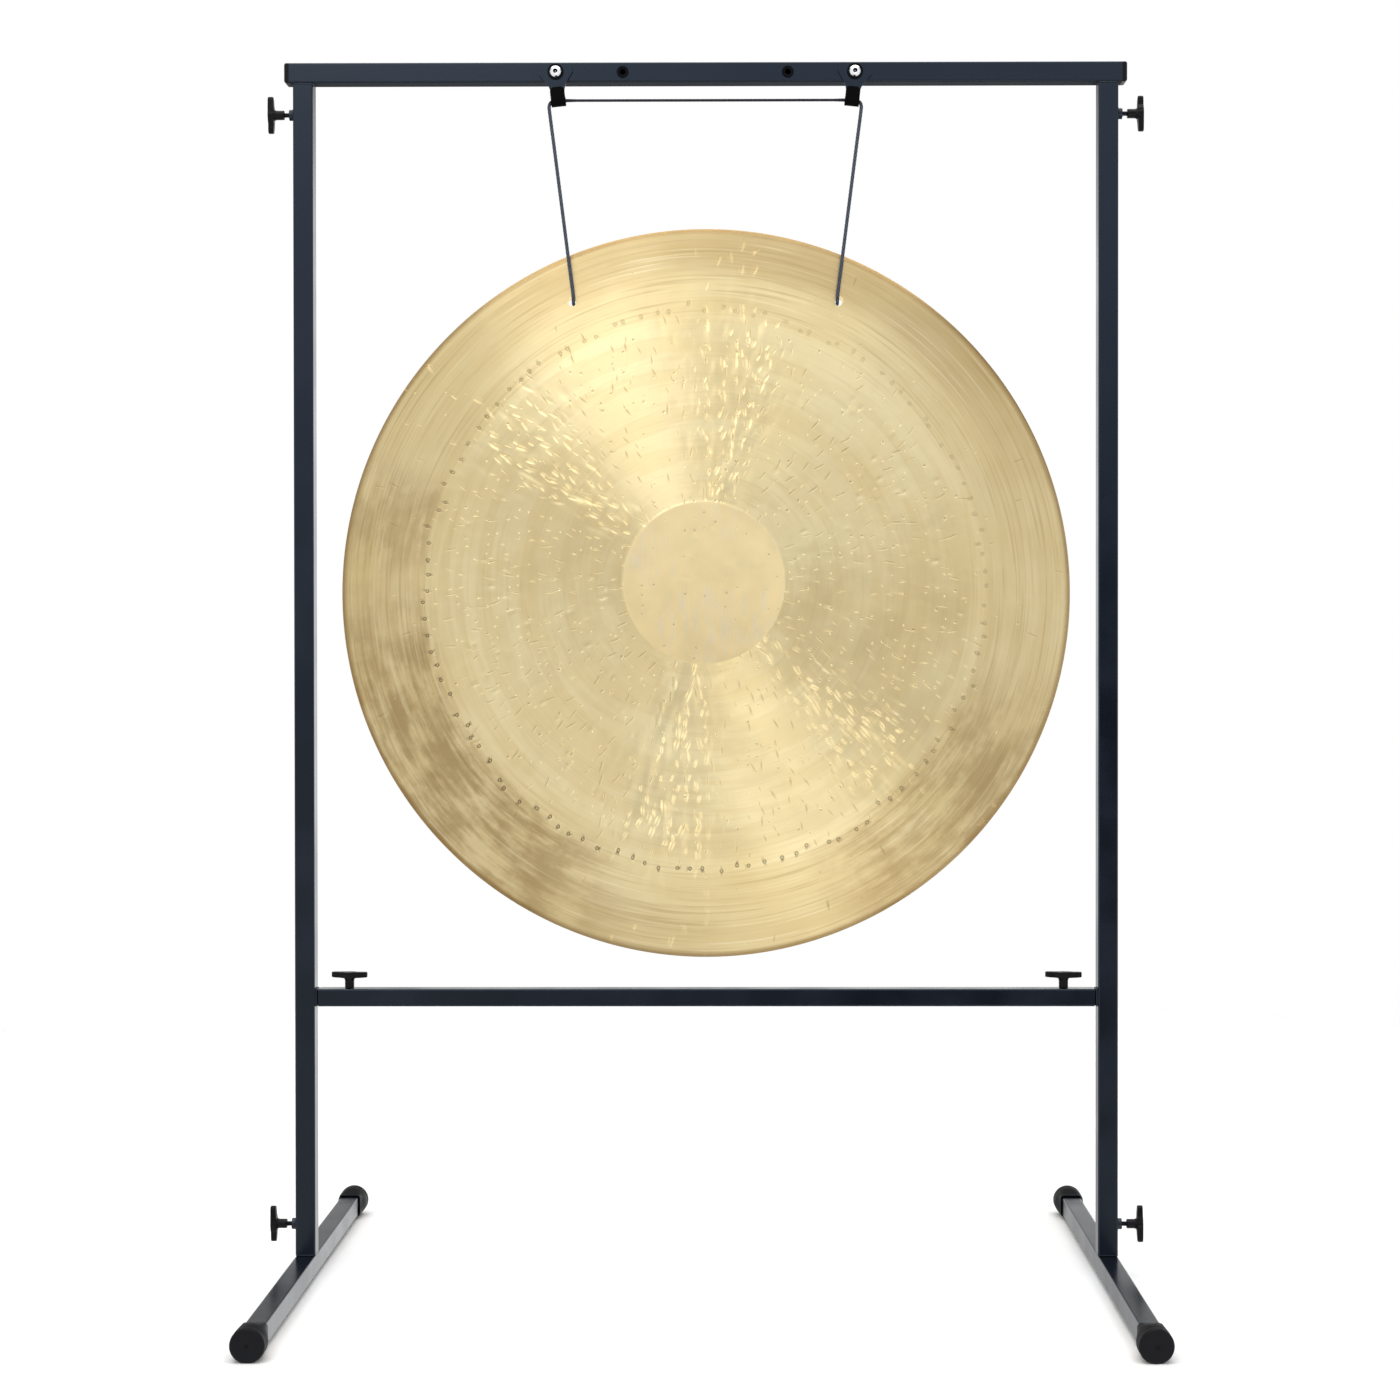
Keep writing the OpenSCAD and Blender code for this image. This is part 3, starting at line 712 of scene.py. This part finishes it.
def gong_shell():
    """The gong's plain shell: rings of points from the front's middle round the rim to the back's."""
    disc_edge = CENTRE_R + np.array([-1.2, 0.4, 1.8, 3.4])
    dish = np.linspace(disc_edge[-1], RIM_START, int((RIM_START - disc_edge[-1]) / RING_STEP))
    radii = np.concatenate([np.arange(RING_STEP, CENTRE_R - 2, RING_STEP), disc_edge, dish[1:]])
    turns = np.radians([18, 36, 54, 72, 90])
    back_depth, inner = fall(RIM_START) + RIM_R, RIM_R - SHEET
    rings = [(r, fall(r), segments_at(r)) for r in radii]
    for bend, along in ((RIM_R, turns), (inner, turns[::-2])):
        rings += [(RIM_START + bend * sin(t), back_depth - bend * cos(t), SEGMENTS) for t in along]
    back = radii[::-1][::BACK_COARSER]
    rings += [(r, fall(r) + SHEET, max(45, segments_at(r) // BACK_COARSER)) for r in back]
    points, starts, total = [], [], 0
    for r, depth, count in rings:
        starts.append(total)
        points.append(ring_points(r, depth, count))
        total += count
    faces = []
    for k in range(len(rings) - 1):
        faces += ring_faces(starts[k], rings[k][2], starts[k + 1], rings[k + 1][2])
    front, back_pole = total, total + 1
    points.append(np.array([[0, 0, 0], [0, SHEET, 0]], float))
    n = rings[0][2]
    faces += [(front, j, (j + 1) % n) for j in range(n)]
    n, last = rings[-1][2], starts[-1]
    faces += [(back_pole, last + (j + 1) % n, last + j) for j in range(n)]
    return np.vstack(points), faces


def ring_faces(a, n, b, m):
    """Faces from a ring of n points at a to the next, of m, where m is n, 2 n or n / 2."""
    if n == m:
        return [(a + j, b + j, b + (j + 1) % m, a + (j + 1) % n) for j in range(n)]
    faces = []
    if m == 2 * n:
        for j in range(n):
            p, q = a + j, a + (j + 1) % n
            u, v, w = b + 2 * j, b + 2 * j + 1, b + (2 * j + 2) % m
            faces += [(p, u, v), (p, v, q), (q, v, w)]
        return faces
    for j in range(m):
        p, q = b + j, b + (j + 1) % m
        u, v, w = a + 2 * j, a + 2 * j + 1, a + (2 * j + 2) % n
        faces += [(p, v, u), (p, q, v), (q, w, v)]
    return faces


def refine(mesh, spots, reach, cuts):
    """Splits the front's faces near each spot, so that small marks have points to lie on."""
    bm = bmesh.new()
    bm.from_mesh(mesh)
    bm.faces.ensure_lookup_table()
    near = {}
    for x, z, *_ in spots:
        near.setdefault((int(x // 10), int(z // 10)), []).append((x, z))
    edges = set()
    for face in bm.faces:
        c = face.calc_center_median()
        if c.y > fall(hypot(c.x, c.z)) + SHEET / 2 or len(face.verts) != 4:
            continue
        i, j = int(c.x // 10), int(c.z // 10)
        cell = [s for p in (i - 1, i, i + 1) for q in (j - 1, j, j + 1) for s in near.get((p, q), ())]
        if any(hypot(c.x - x, c.z - z) < reach for x, z in cell):
            edges.update(face.edges)
    edges = sorted(edges, key=lambda e: e.index)
    bmesh.ops.subdivide_edges(bm, edges=edges, cuts=cuts, use_grid_fill=True)
    bm.to_mesh(mesh)
    bm.free()


def struck_marks(s, plane, radius, cell, share, size):
    """Random marks, at most one to a cell: how far into its mark a point lies, from 0 at the edge to 1.

    share is the part of the cells that hold one, near the middle and at the rim. size is a mark's half
    length along its spoke and its half width, in millimetres."""
    cells = s.add("TexVoronoi", {"Vector": plane, "Scale": 1000 / cell}, voronoi_dimensions="2D")
    chance, grow, lean = s.split(cells.outputs["Color"])
    spoke = s.vector("NORMALIZE", cells.outputs["Position"])
    offset = s.vector("SUBTRACT", plane, cells.outputs["Position"])
    along = s.dot(offset, spoke)
    across = s.dot(offset, s.vector("CROSS_PRODUCT", spoke, (0, 0, 1)))
    across = s.plus(across, s.times(along, s.spread(lean, 0, 1, -0.3, 0.3)))
    grow = s.spread(grow, 0, 1, 0.55, 1.25)
    along, across = (s.math("DIVIDE", way, most * MM) for way, most in zip((along, across), size))
    reach = s.length(s.join(along, across))
    inside = s.spread(s.math("DIVIDE", reach, grow), 1.0, 0.0)
    held = s.math("LESS_THAN", chance, s.spread(radius, 0.3, 0.365, *share))
    return s.times(inside, held)


def bronze_material(name, lathed):
    """Hammered bronze. lathed adds fine concentric cuts, which draw highlights out into radial fans."""
    s = Shader(name, Metallic=1.0)
    place = s.add("Attribute", attribute_name="turned_place").outputs["Vector"]
    x, z, _ = s.split(place)
    plane = s.join(x, z)
    radius = s.length(plane)
    spoke = s.vector("NORMALIZE", plane)
    x, z, _ = s.split(spoke)

    def rings(pitch, bend, detail):
        """Noise that changes every pitch millimetres outwards and slowly round the face."""
        place = s.join(s.times(radius, 1000 / pitch), s.times(x, bend), s.times(z, bend))
        return s.noise(place, 1.0, detail, 0.6)

    def sector(clock, inner, outer):
        """1 within inner degrees of a direction in degrees from 12, falling to 0 at outer."""
        a = radians(clock)
        limits = [cos(radians(angle)) for angle in (outer, inner)]
        return s.spread(s.dot(spoke, (sin(a), cos(a), 0)), *limits)

    cuts, bands = rings(3.4, 2.2, 3), rings(26, 1.0, 3)
    cloud = s.noise(plane, 5.5, 4, 0.55)
    stain = s.noise(plane, 16, 4, 0.6)
    pale, gold, brown = rgb(242, 224, 174), rgb(234, 212, 158), rgb(166, 136, 88)
    if not lathed:
        pale, gold = rgb(233, 213, 163), rgb(226, 202, 148)
    colour = s.mix(s.spread(cloud, 0.3, 0.7), pale, gold)
    edge = s.spread(radius, 0.325, 0.365)
    if lathed:
        colour = s.mix(s.times(s.spread(bands, 0.46, 0.55), 0.36), colour, rgb(225, 201, 146))
        # Painted shade: the outer band is browned in sectors at about 7:50, 4:25 and 9:25 o'clock, broken
        # up by stain and ring noise
        rim_sector_painted_shade = s.math("MAXIMUM", sector(234, 14, 44), s.times(sector(132, 6, 30), 0.8))
        rim_sector_painted_shade = s.math("MAXIMUM", rim_sector_painted_shade, s.times(sector(283, 2, 12), 0.6))
        drawn = s.plus(s.times(stain, 0.5), s.times(rings(9, 7, 3), 0.5))
        rim_sector_painted_shade = s.times(s.times(rim_sector_painted_shade, edge), s.spread(drawn, 0.38, 0.6, 0.2, 1.0))
        colour = s.mix(s.times(rim_sector_painted_shade, 0.72), colour, brown)
        colour = s.mix(s.times(edge, 0.08), colour, brown)
        # Painted shade: the rim band beyond about 380 mm is browned at 12 o'clock, and less at 6 o'clock
        crown = s.math("MAXIMUM", s.times(sector(12, 25, 70), 0.36),
                       s.times(sector(180, 10, 45), 0.15))
        colour = s.mix(s.times(crown, s.spread(radius, 0.38, 0.42)), colour, brown)
        # The turning cuts are painted into the colour as dark and pale arcs, strongest in the outer band:
        # painted shade and painted highlight of the grooves
        strong = s.plus(0.1, s.times(edge, 0.24))
        colour = s.mix(s.times(s.spread(cuts, 0.5, 0.72), strong), colour, brown)
        colour = s.mix(s.times(s.spread(cuts, 0.42, 0.3), strong), colour, rgb(252, 238, 200))
        colour = s.mix(s.times(s.spread(radius, 0.4475, 0.454), 0.6), colour, rgb(148, 114, 66))
    else:
        brushed = s.noise(s.vector("MULTIPLY", plane, (420, 26, 0)), 1.0, 3)
        grey = s.times(s.spread(s.noise(plane, 9, 2), 0.4, 0.65), s.spread(brushed, 0.4, 0.7))
        colour = s.mix(s.times(grey, 0.6), colour, rgb(208, 205, 190))
    pits = struck_marks(s, plane, radius, 13, (0.24, 0.03), (2.4, 2.2))
    colour = s.mix(s.times(s.spread(pits, 0.3, 1), 0.4), colour, rgb(140, 116, 72))
    height = s.times(pits, -0.25 if lathed else -0.18)
    if lathed:
        dashes = struck_marks(s, plane, radius, 17, (0.6, 0.04), (8, 1.6))
        colour = s.mix(s.times(dashes, 0.42), colour, rgb(140, 114, 70))
        height = s.math("SUBTRACT", height, s.times(dashes, 0.2))
        ragged = [sector(clock, spread * 0.7, spread * 1.9) for clock, spread, _, _ in RAGGED_EDGES]
        while len(ragged) > 1:
            ragged.append(s.math("MAXIMUM", ragged.pop(0), ragged.pop(0)))
        streaks = s.times(struck_marks(s, plane, radius, 15, (0.8, 0.12), (10, 3.6)), ragged[0])
        height = s.math("SUBTRACT", height, s.times(streaks, 0.46))
        height = s.plus(height, s.times(cuts, 0.05))
    marks = s.add("Attribute", attribute_name="marks").outputs["Fac"]
    colour = s.mix(marks, colour, rgb(60, 48, 28))
    s.set(Base_Color=colour)
    if lathed:
        rough = s.plus(s.spread(stain, 0.25, 0.75, 0.29, 0.35), s.times(edge, 0.15))
        s.set(Anisotropic=0.95, Anisotropic_Rotation=0.25)
        s.set(Tangent=s.add("Tangent", direction_type="RADIAL", axis="Y").outputs[0])
    else:
        rough = s.spread(stain, 0.25, 0.75, 0.4, 0.52)
    s.set(Roughness=s.times(rough, s.spread(pits, 0, 0.6, 1.0, 0.8)))
    s.set(Normal=s.bump(s.noise(plane, 70, 3), 0.0006, 0.25, s.bump(height, 0.001)))
    return s.material


def make_gong():
    points, faces = gong_shell()
    mesh = bpy.data.meshes.new("gong")
    mesh.from_pydata([tuple(p) for p in points], [], faces)
    relief = front_relief()
    punches, pits = punch_spots(relief.random), scattered_pits(relief.random, PITS)
    refine(mesh, punches, 3.6, 3)
    refine(mesh, pits, 3.6, 1)
    for x, z, depth in punches:
        relief.punch(x, z, 0.45 * depth)
    for x, z, depth in pits:
        relief.dent(x, z, 0.42 * depth * relief.random.choice([1, 1, -0.8]), 1.7, 1.5, 0)
    co = np.zeros(len(mesh.vertices) * 3, np.float32)
    mesh.vertices.foreach_get("co", co)
    co = co.reshape(-1, 3).astype(float)
    r = np.hypot(co[:, 0], co[:, 2])
    inside = r < RIM_START + 0.1
    front = inside & (co[:, 1] < fall(r) + SHEET / 2)
    back = inside & ~front
    fade = np.clip((RIM_START - r) / 12, 0, 1)
    co[front, 1] = (fall(r) - relief.at(co[:, 0], co[:, 2]) * fade)[front]
    rear = Relief(19)
    hammered(rear, 900, 60, 420, 0.14, 14, 8)
    dents = rear.at(co[:, 0], co[:, 2]) - 0.3 * relief.at(co[:, 0], co[:, 2])
    co[back, 1] = (fall(r) + SHEET + dents * fade)[back]
    spot = np.zeros(len(co))
    ring = Relief(1)
    for x, z, depth in punches:
        ring.punch(x, z, depth)
    spot[front] = np.clip(-ring.at(co[front, 0], co[front, 2]), 0, 1)
    marks = mesh.attributes.new("marks", "FLOAT", "POINT")
    marks.data.foreach_set("value", spot.astype(np.float32))
    turned = mesh.attributes.new("turned_place", "FLOAT_VECTOR", "POINT")
    turned.data.foreach_set("vector", (co[:, [0, 2, 1]] * MM).astype(np.float32).ravel())
    co[:, [0, 2]] += np.clip((RIM_START - r) / (RIM_START - CENTRE_R), 0, 1)[:, None] * DISC_SHIFT
    mesh.vertices.foreach_set("co", (co * MM).astype(np.float32).ravel())
    mesh.update()
    gong = in_scene("hammered_gong", mesh)
    gong.location = GONG_CENTRE
    for m in (bronze_material("lathed_bronze", True), bronze_material("centre_bronze", False)):
        mesh.materials.append(m)
    drill_holes(gong)
    centres = np.zeros(len(gong.data.polygons) * 3, np.float32)
    gong.data.polygons.foreach_get("center", centres)
    centres = centres.reshape(-1, 3)[:, [0, 2]] - DISC_SHIFT * MM
    middle = np.hypot(*centres.T) < (CENTRE_R + 0.3) * MM
    gong.data.polygons.foreach_set("material_index", middle.astype(np.int32))
    finish_mesh(gong.data, 40)
    dress(gong, "gong", "bronze", "gong_disc")


def drill_holes(gong):
    """Cuts the two cord holes through the sheet."""
    cutters = []
    for side in SIDES.values():
        bm = bmesh.new()
        radius = HOLE_R * MM
        bmesh.ops.create_cone(bm, cap_ends=True, segments=40, radius1=radius, radius2=radius, depth=0.08)
        place = Matrix.Translation(GONG_CENTRE + Vector((side * HOLE_X, 0, HOLE_UP)) * MM)
        bm.transform(place @ Matrix.Rotation(pi / 2, 4, "X"))
        cutters.append(in_scene("drill", from_bmesh("drill", bm)))
        cut = gong.modifiers.new("hole", "BOOLEAN")
        cut.operation, cut.solver, cut.object = "DIFFERENCE", "MANIFOLD", cutters[-1]
    apply_modifiers(gong)
    for cutter in cutters:
        bpy.data.objects.remove(cutter)


make_gong()


# ---- thumb screws

KNOB_PLACES = ["upper", "lower", "cross"]
HUB_R, HUB_H = 6.1, 12.0
WING_H, WING_TIP_H = 8.6, 7.0
WING_ROOT_R, WING_TIP_R, WING_REACH = 7.6, 4.8, 18.2
STUD_R, THREAD_PITCH, THREAD_DEPTH = 3.0, 1.0, 0.58
TIP_Y, RIB_R = -1.8, 0.62
GRIP_VOXEL = 0.42


def knob_frame(side, place, node):
    """Carries a thumb screw's own frame, whose +Z leads away from its tube, to a node's end at the tube."""
    low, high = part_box(node)
    base = (low + high) / 2
    turn = Matrix.Rotation(pi / 2, 4, "Z")
    if place == "cross":
        base.z = low.z
    else:
        base.x = low.x if side == "right" else high.x
        turn = Matrix.Rotation(SIDES[side] * pi / 2, 4, "Y") @ turn
    return Matrix.Translation(base) @ turn @ Matrix.Scale(MM, 4)


def prism(bm, outline, low, high, lift=0.0):
    """Adds a closed prism over an outline; its bottom rises by lift at the wings' tips."""
    def rise(x, y):
        return lift * min(hypot(x, y) / (WING_REACH + WING_TIP_R), 1)
    bottom = [bm.verts.new((x, y, low + rise(x, y))) for x, y in outline]
    top = [bm.verts.new((x, y, high)) for x, y in outline]
    bm.faces.new(bottom[::-1])
    bm.faces.new(top)
    n = len(outline)
    for i in range(n):
        bm.faces.new((bottom[i], bottom[(i + 1) % n], top[(i + 1) % n], top[i]))


def disc(x, y, r, n=36):
    return [(x + r * cos(a), y + r * sin(a)) for a in full_turn(n)]


def turned(bm, profile):
    """Adds a closed solid of revolution about Z from (radius, height) points."""
    n = 48
    rings = [[bm.verts.new((*polar(r, a), z)) for a in full_turn(n)] for r, z in profile]
    for a, b in zip(rings, rings[1:]):
        for k in range(n):
            bm.faces.new((a[k], a[(k + 1) % n], b[(k + 1) % n], b[k]))
    bm.faces.new(rings[0][::-1])
    bm.faces.new(rings[-1])


def grip_mesh():
    """The two-winged grip: a hub that flares into an S-shaped wing with ribbed tips."""
    bm = bmesh.new()
    skin = 0.25
    turned(bm, [(HUB_R - 0.5, skin), (HUB_R - skin, 0.8), (HUB_R - skin, HUB_H - 2), (HUB_R + 0.6, HUB_H),
                (WING_ROOT_R - skin, HUB_H + 1.5), (WING_ROOT_R - skin, HUB_H + WING_H - skin)])
    low, high = HUB_H + skin, HUB_H + WING_H - skin
    for turn in (Matrix.Rotation(pi / 2, 2), Matrix.Rotation(-pi / 2, 2)):
        def placed(points):
            return [tuple(turn @ Vector(p)) for p in points]
        lift = WING_H - WING_TIP_H
        prism(bm, placed([(0, -6.7), (WING_REACH, -6.3), (WING_REACH, 2.7), (11.2, 2.9), (6.4, 5.7),
                          (0, WING_ROOT_R - skin)]), low, high, lift)
        prism(bm, placed(disc(WING_REACH, TIP_Y, WING_TIP_R - skin - 0.15)), low, high, lift)
        for angle in range(-60, 61, 24):
            x, y = polar(WING_TIP_R - 0.75, radians(angle))
            prism(bm, placed(disc(WING_REACH + x, y + TIP_Y, RIB_R, 12)), low + 1.3, high - 1.0, lift * 0.7)
    shape = in_scene("grip_shape", from_bmesh("grip", bm))
    skinned = shape.modifiers.new("skin", "REMESH")
    skinned.mode, skinned.voxel_size = "VOXEL", GRIP_VOXEL
    soft = shape.modifiers.new("soft", "SMOOTH")
    soft.factor, soft.iterations = 0.5, 3
    apply_modifiers(shape)
    mesh = shape.data
    bpy.data.objects.remove(shape)
    return mesh


def thread_mesh(length):
    """A right-hand threaded rod along +Z with a chamfered tip at z = 0."""
    sides, steps = 24, 7
    rings = int(length * steps / THREAD_PITCH)
    z = np.linspace(0, length, rings)[:, None]
    angle = 2 * np.pi * np.arange(sides)[None, :] / sides
    phase = np.mod(z / THREAD_PITCH - angle / (2 * np.pi), 1)
    ridge = np.clip(1.25 - 2.6 * np.abs(phase - 0.5), 0, 1)
    radius = STUD_R - THREAD_DEPTH * (1 - ridge)
    radius = np.minimum(radius, STUD_R - 0.9 + z)
    points = np.stack([radius * np.cos(angle), radius * np.sin(angle), z + 0 * angle], axis=2)
    faces = grid_faces(rings, sides)
    faces += [tuple(range(sides))[::-1], tuple(range((rings - 1) * sides, rings * sides))]
    return points.reshape(-1, 3), faces


def make_thumb_screws():
    shared = grip_mesh()
    for place in KNOB_PLACES:
        for side in SIDES:
            name = f"{side}_{place}"
            mesh = shared.copy()
            mesh.transform(knob_frame(side, place, name + "_grip"))
            finish_mesh(mesh, 50)
            mesh.materials.append(KNOB_PLASTIC)
            grip = in_scene(name + "_knob", mesh)
            dress(grip, name + "_knob", "knob_plastic", name + "_grip")
            low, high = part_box(name + "_stud")
            points, faces = thread_mesh(max(high - low) / MM)
            carry = knob_frame(side, place, name + "_stud")
            points = [carry @ Vector(p) for p in points]
            rod = make_piece(name + "_threaded_stud", points, faces, DARK_ZINC, 60)
            dress(rod, name + "_knob", "zinc_steel", name + "_stud")


make_thumb_screws()


# ---- rubber caps

CAP_R, CAP_LEN, CAP_EDGE = 20.0, 45.0, 3.0
MOUTH_HALF, MOUTH_CORNER, MOUTH_LIP, MOUTH_DEPTH = 15.0, 5.0, 1.3, 12.0
POCKET_HALF, POCKET_CORNER = 12.5, 2.0
CAP_SIDES = 96
CAP_TAPER, CAP_GROOVE, LIP_ROUND = 26.0, 0.35, 0.45


def square_radius(half, corner, angle):
    """How far a rounded square's outline is from its middle, at an angle."""
    c, s = abs(cos(angle)), abs(sin(angle))
    big, small = max(c, s), min(c, s)
    flat = half / big
    if flat * small <= half - corner:
        return flat
    m = (half - corner) * (big + small)
    return m + sqrt(max(m * m - 2 * (half - corner) ** 2 + corner ** 2, 0))


def cap_rings():
    """Rings of (distance from mouth, outline), from inside the mouth round its lip to the closed end."""
    def square(half, corner):
        return [square_radius(half, corner, a) for a in full_turn(CAP_SIDES)]

    def between(t, mouth):
        t = t * t * (3 - 2 * t)
        return [(1 - t) * m + t * CAP_R for m in mouth]
    mouth = square(MOUTH_HALF, MOUTH_CORNER)
    inner = square(MOUTH_HALF - MOUTH_LIP, MOUTH_CORNER - MOUTH_LIP)
    rings = [(MOUTH_DEPTH, square(POCKET_HALF, POCKET_CORNER)), (MOUTH_DEPTH, [r - 0.4 for r in inner]),
             (MOUTH_DEPTH - 0.6, inner), (0.5, inner)]
    rings += [(0.0, [r + LIP_ROUND for r in inner]), (0.0, [r - LIP_ROUND for r in mouth]), (0.5, mouth)]
    straight = CAP_LEN - CAP_EDGE
    for k in range(1, 15):
        at = 0.5 + (straight - 0.5) * k / 15
        groove = CAP_GROOVE if k in (6, 9, 12) else 0.0
        rings.append((at - 0.8, between(min((at - 0.8) / CAP_TAPER, 1), mouth)))
        rings.append((at, [r - groove for r in between(min(at / CAP_TAPER, 1), mouth)]))
    for k in range(7):
        a = radians(90 * k / 6)
        rings.append((straight + CAP_EDGE * sin(a), [CAP_R - CAP_EDGE * (1 - cos(a))] * CAP_SIDES))
    for r, deep in ((12, 0.12), (3.6, 0.2), (2.6, 0.5), (2.2, 1.5), (0.4, 1.9)):
        rings.append((CAP_LEN - deep, [r] * CAP_SIDES))
    return rings


def make_caps():
    rings = cap_rings()
    last = (len(rings) - 1) * CAP_SIDES
    faces = grid_faces(len(rings), CAP_SIDES) + [tuple(range(last, last + CAP_SIDES))]
    for side in SIDES:
        for end, along in (("front", -1), ("rear", 1)):
            low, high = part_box(f"{side}_{end}_cap")
            axis_z = high.z - CAP_R * MM
            mouth_y = low.y if along > 0 else high.y
            points = []
            for at, radii in rings:
                for a, r in zip(full_turn(CAP_SIDES), radii):
                    z = max(axis_z + r * MM * sin(a), low.z)
                    points.append(((low.x + high.x) / 2 + r * MM * cos(a), mouth_y + along * at * MM, z))
            outward = [f[::along] for f in faces]
            cap = make_piece(f"{side}_{end}_rubber_cap", points, outward, CAP_RUBBER, 42)
            dress(cap, f"{side}_foot", "foot_rubber", f"{side}_{end}_cap")


make_caps()


# ---- weld beads

BEAD_R, CROSS_BEAD_R, NUT_BEAD_R = 1.05 * MM, 1.5 * MM, 1.1 * MM
NUT_R = 7.1 * MM
BEAD_POINTS, NUT_POINTS, BEAD_SIDES = 120, 96, 14
BEAD_RIPPLE = 2.3 * MM
BEAD_LIFT, CROSS_SINK, NUT_SINK = BEAD_R * 0.9, 1.2 * MM, 0.7 * MM


def weld_bead(name, body, loop, radius, seed):
    """A lumpy closed bead of weld along a loop of points."""
    line = np.array(loop, float)
    n, sides = len(line), BEAD_SIDES
    ahead = np.roll(line, -1, axis=0)
    tangent = ahead - np.roll(line, 1, axis=0)
    tangent /= np.linalg.norm(tangent, axis=1)[:, None]
    spans = np.ptp(line, axis=0)
    normal = np.cross(*(spans * v for v in np.eye(3)[np.argsort(spans)[1:]]))
    normal /= np.linalg.norm(normal)
    across = np.cross(tangent, normal)
    along = np.arange(n) / n * np.linalg.norm(ahead - line, axis=1).sum()
    points = []
    for i in range(n):
        ripple = 0.5 + 0.5 * sin(tau * along[i] / BEAD_RIPPLE + seed)
        lump = noise.noise(Vector(line[i]) * 260 + Vector((seed, 0, 0)))
        r = radius * (0.86 + 0.1 * ripple + 0.2 * lump)
        for a in full_turn(sides):
            points.append(line[i] + r * (cos(a) * across[i] + sin(a) * normal))
    faces = grid_faces(n, sides)
    last = (n - 1) * sides
    faces += [(last + j, last + (j + 1) % sides, (j + 1) % sides, j) for j in range(sides)]
    bead = make_piece(name, points, faces, PAINT, 60)
    dress(bead, body, "stand_paint")


def round_square(centre, half, corner, axis):
    """A closed loop of points round a square whose normal is a world axis, 0 for X or 2 for Z."""
    loop = []
    for a in full_turn(BEAD_POINTS):
        r = square_radius(half, corner, a)
        u, v = r * cos(a) * MM, r * sin(a) * MM
        loop.append(centre + (Vector((0, u, v)) if axis == 0 else Vector((u, v, 0))))
    return loop


def make_welds():
    for seed, (side, sign) in enumerate(SIDES.items()):
        low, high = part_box(f"{side}_upright")
        x = (low.x + high.x) / 2
        stub_low, stub_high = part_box(f"{side}_foot_stub")
        half = (stub_high.y - stub_low.y) / 2 / MM - 0.3
        bar_low, foot_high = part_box("top_bar")[0].z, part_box(f"{side}_foot_tube")[1].z
        for part, body, z, more in (("bar", "top_bar", bar_low - BEAD_LIFT, 0),
                                    ("foot", f"{side}_foot", foot_high + BEAD_LIFT, 3)):
            loop = round_square(Vector((x, 0, z)), half, 2, 2)
            weld_bead(f"{side}_{part}_weld", body, loop, BEAD_R, seed + more)
        cross_low, cross_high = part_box(f"{side}_cross_stub")
        inner = high.x if sign < 0 else low.x
        at = Vector((inner - sign * CROSS_SINK, 0, (cross_low.z + cross_high.z) / 2))
        loop = round_square(at, (cross_high.y - cross_low.y) / 2 / MM, 2, 0)
        weld_bead(f"{side}_cross_weld", "frame", loop, CROSS_BEAD_R, seed + 6)
        for place in ("upper", "lower"):
            low_nut, high_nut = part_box(f"{side}_{place}_nut")
            face = low_nut.x if sign > 0 else high_nut.x
            at = Vector((face + sign * NUT_SINK, 0, (low_nut.z + high_nut.z) / 2))
            loop = [at + Vector((0, cos(a), sin(a))) * NUT_R for a in full_turn(NUT_POINTS)]
            weld_bead(f"{side}_{place}_nut_weld", "frame", loop, NUT_BEAD_R, seed + 9)


make_welds()


# ---- CAD nodes' materials

NODE_LOOKS = {
    "grip": KNOB_PLASTIC, "bar_plug": PLUG_PLASTIC, "cap": CAP_RUBBER, "sleeve": SLEEVE_RUBBER,
    "washer": WASHER_BLACK, "stub": STUB_STEEL, "stud": DARK_ZINC, "hook_nut": DARK_ZINC,
    "spare_nut": WASHER_BLACK,
}


# Radii of the socket's painted shade and of the painted glint at its middle
SOCKET_R, GLINT_R = 2.9 * MM, 0.3 * MM


def screw_material(side):
    """Bright zinc whose hexagon socket is painted dark as shade, with a painted highlight as a glint in its
    middle.
    """
    s = Shader(side + "_screw_zinc", Metallic=1.0)
    low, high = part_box(side + "_hook_screw")
    away = s.vector("SUBTRACT", s.object_space(), (low + high) / 2)
    away = s.length(s.vector("MULTIPLY", away, (1, 0, 1)))
    # dark is the painted shade in the socket, left out at the painted glint in the middle
    dark = s.times(s.spread(away, SOCKET_R, SOCKET_R - 0.2 * MM), s.spread(away, GLINT_R, 2 * GLINT_R))
    s.set(Base_Color=s.mix(dark, rgb(222, 224, 226), rgb(6, 6, 7)), Roughness=0.24)
    s.set(Normal=s.bump(s.noise(s.object_space(), 2500, 2), 0.00004, 0.4))
    return s.material


def look_of(node):
    if "hook_screw" in node:
        return screw_material(node.split("_")[0])
    return next((material for part, material in NODE_LOOKS.items() if part in node), PAINT)


for node in NODES:
    paint_node(node, look_of(node))

bpy.context.scene.view_settings.view_transform = "Standard"
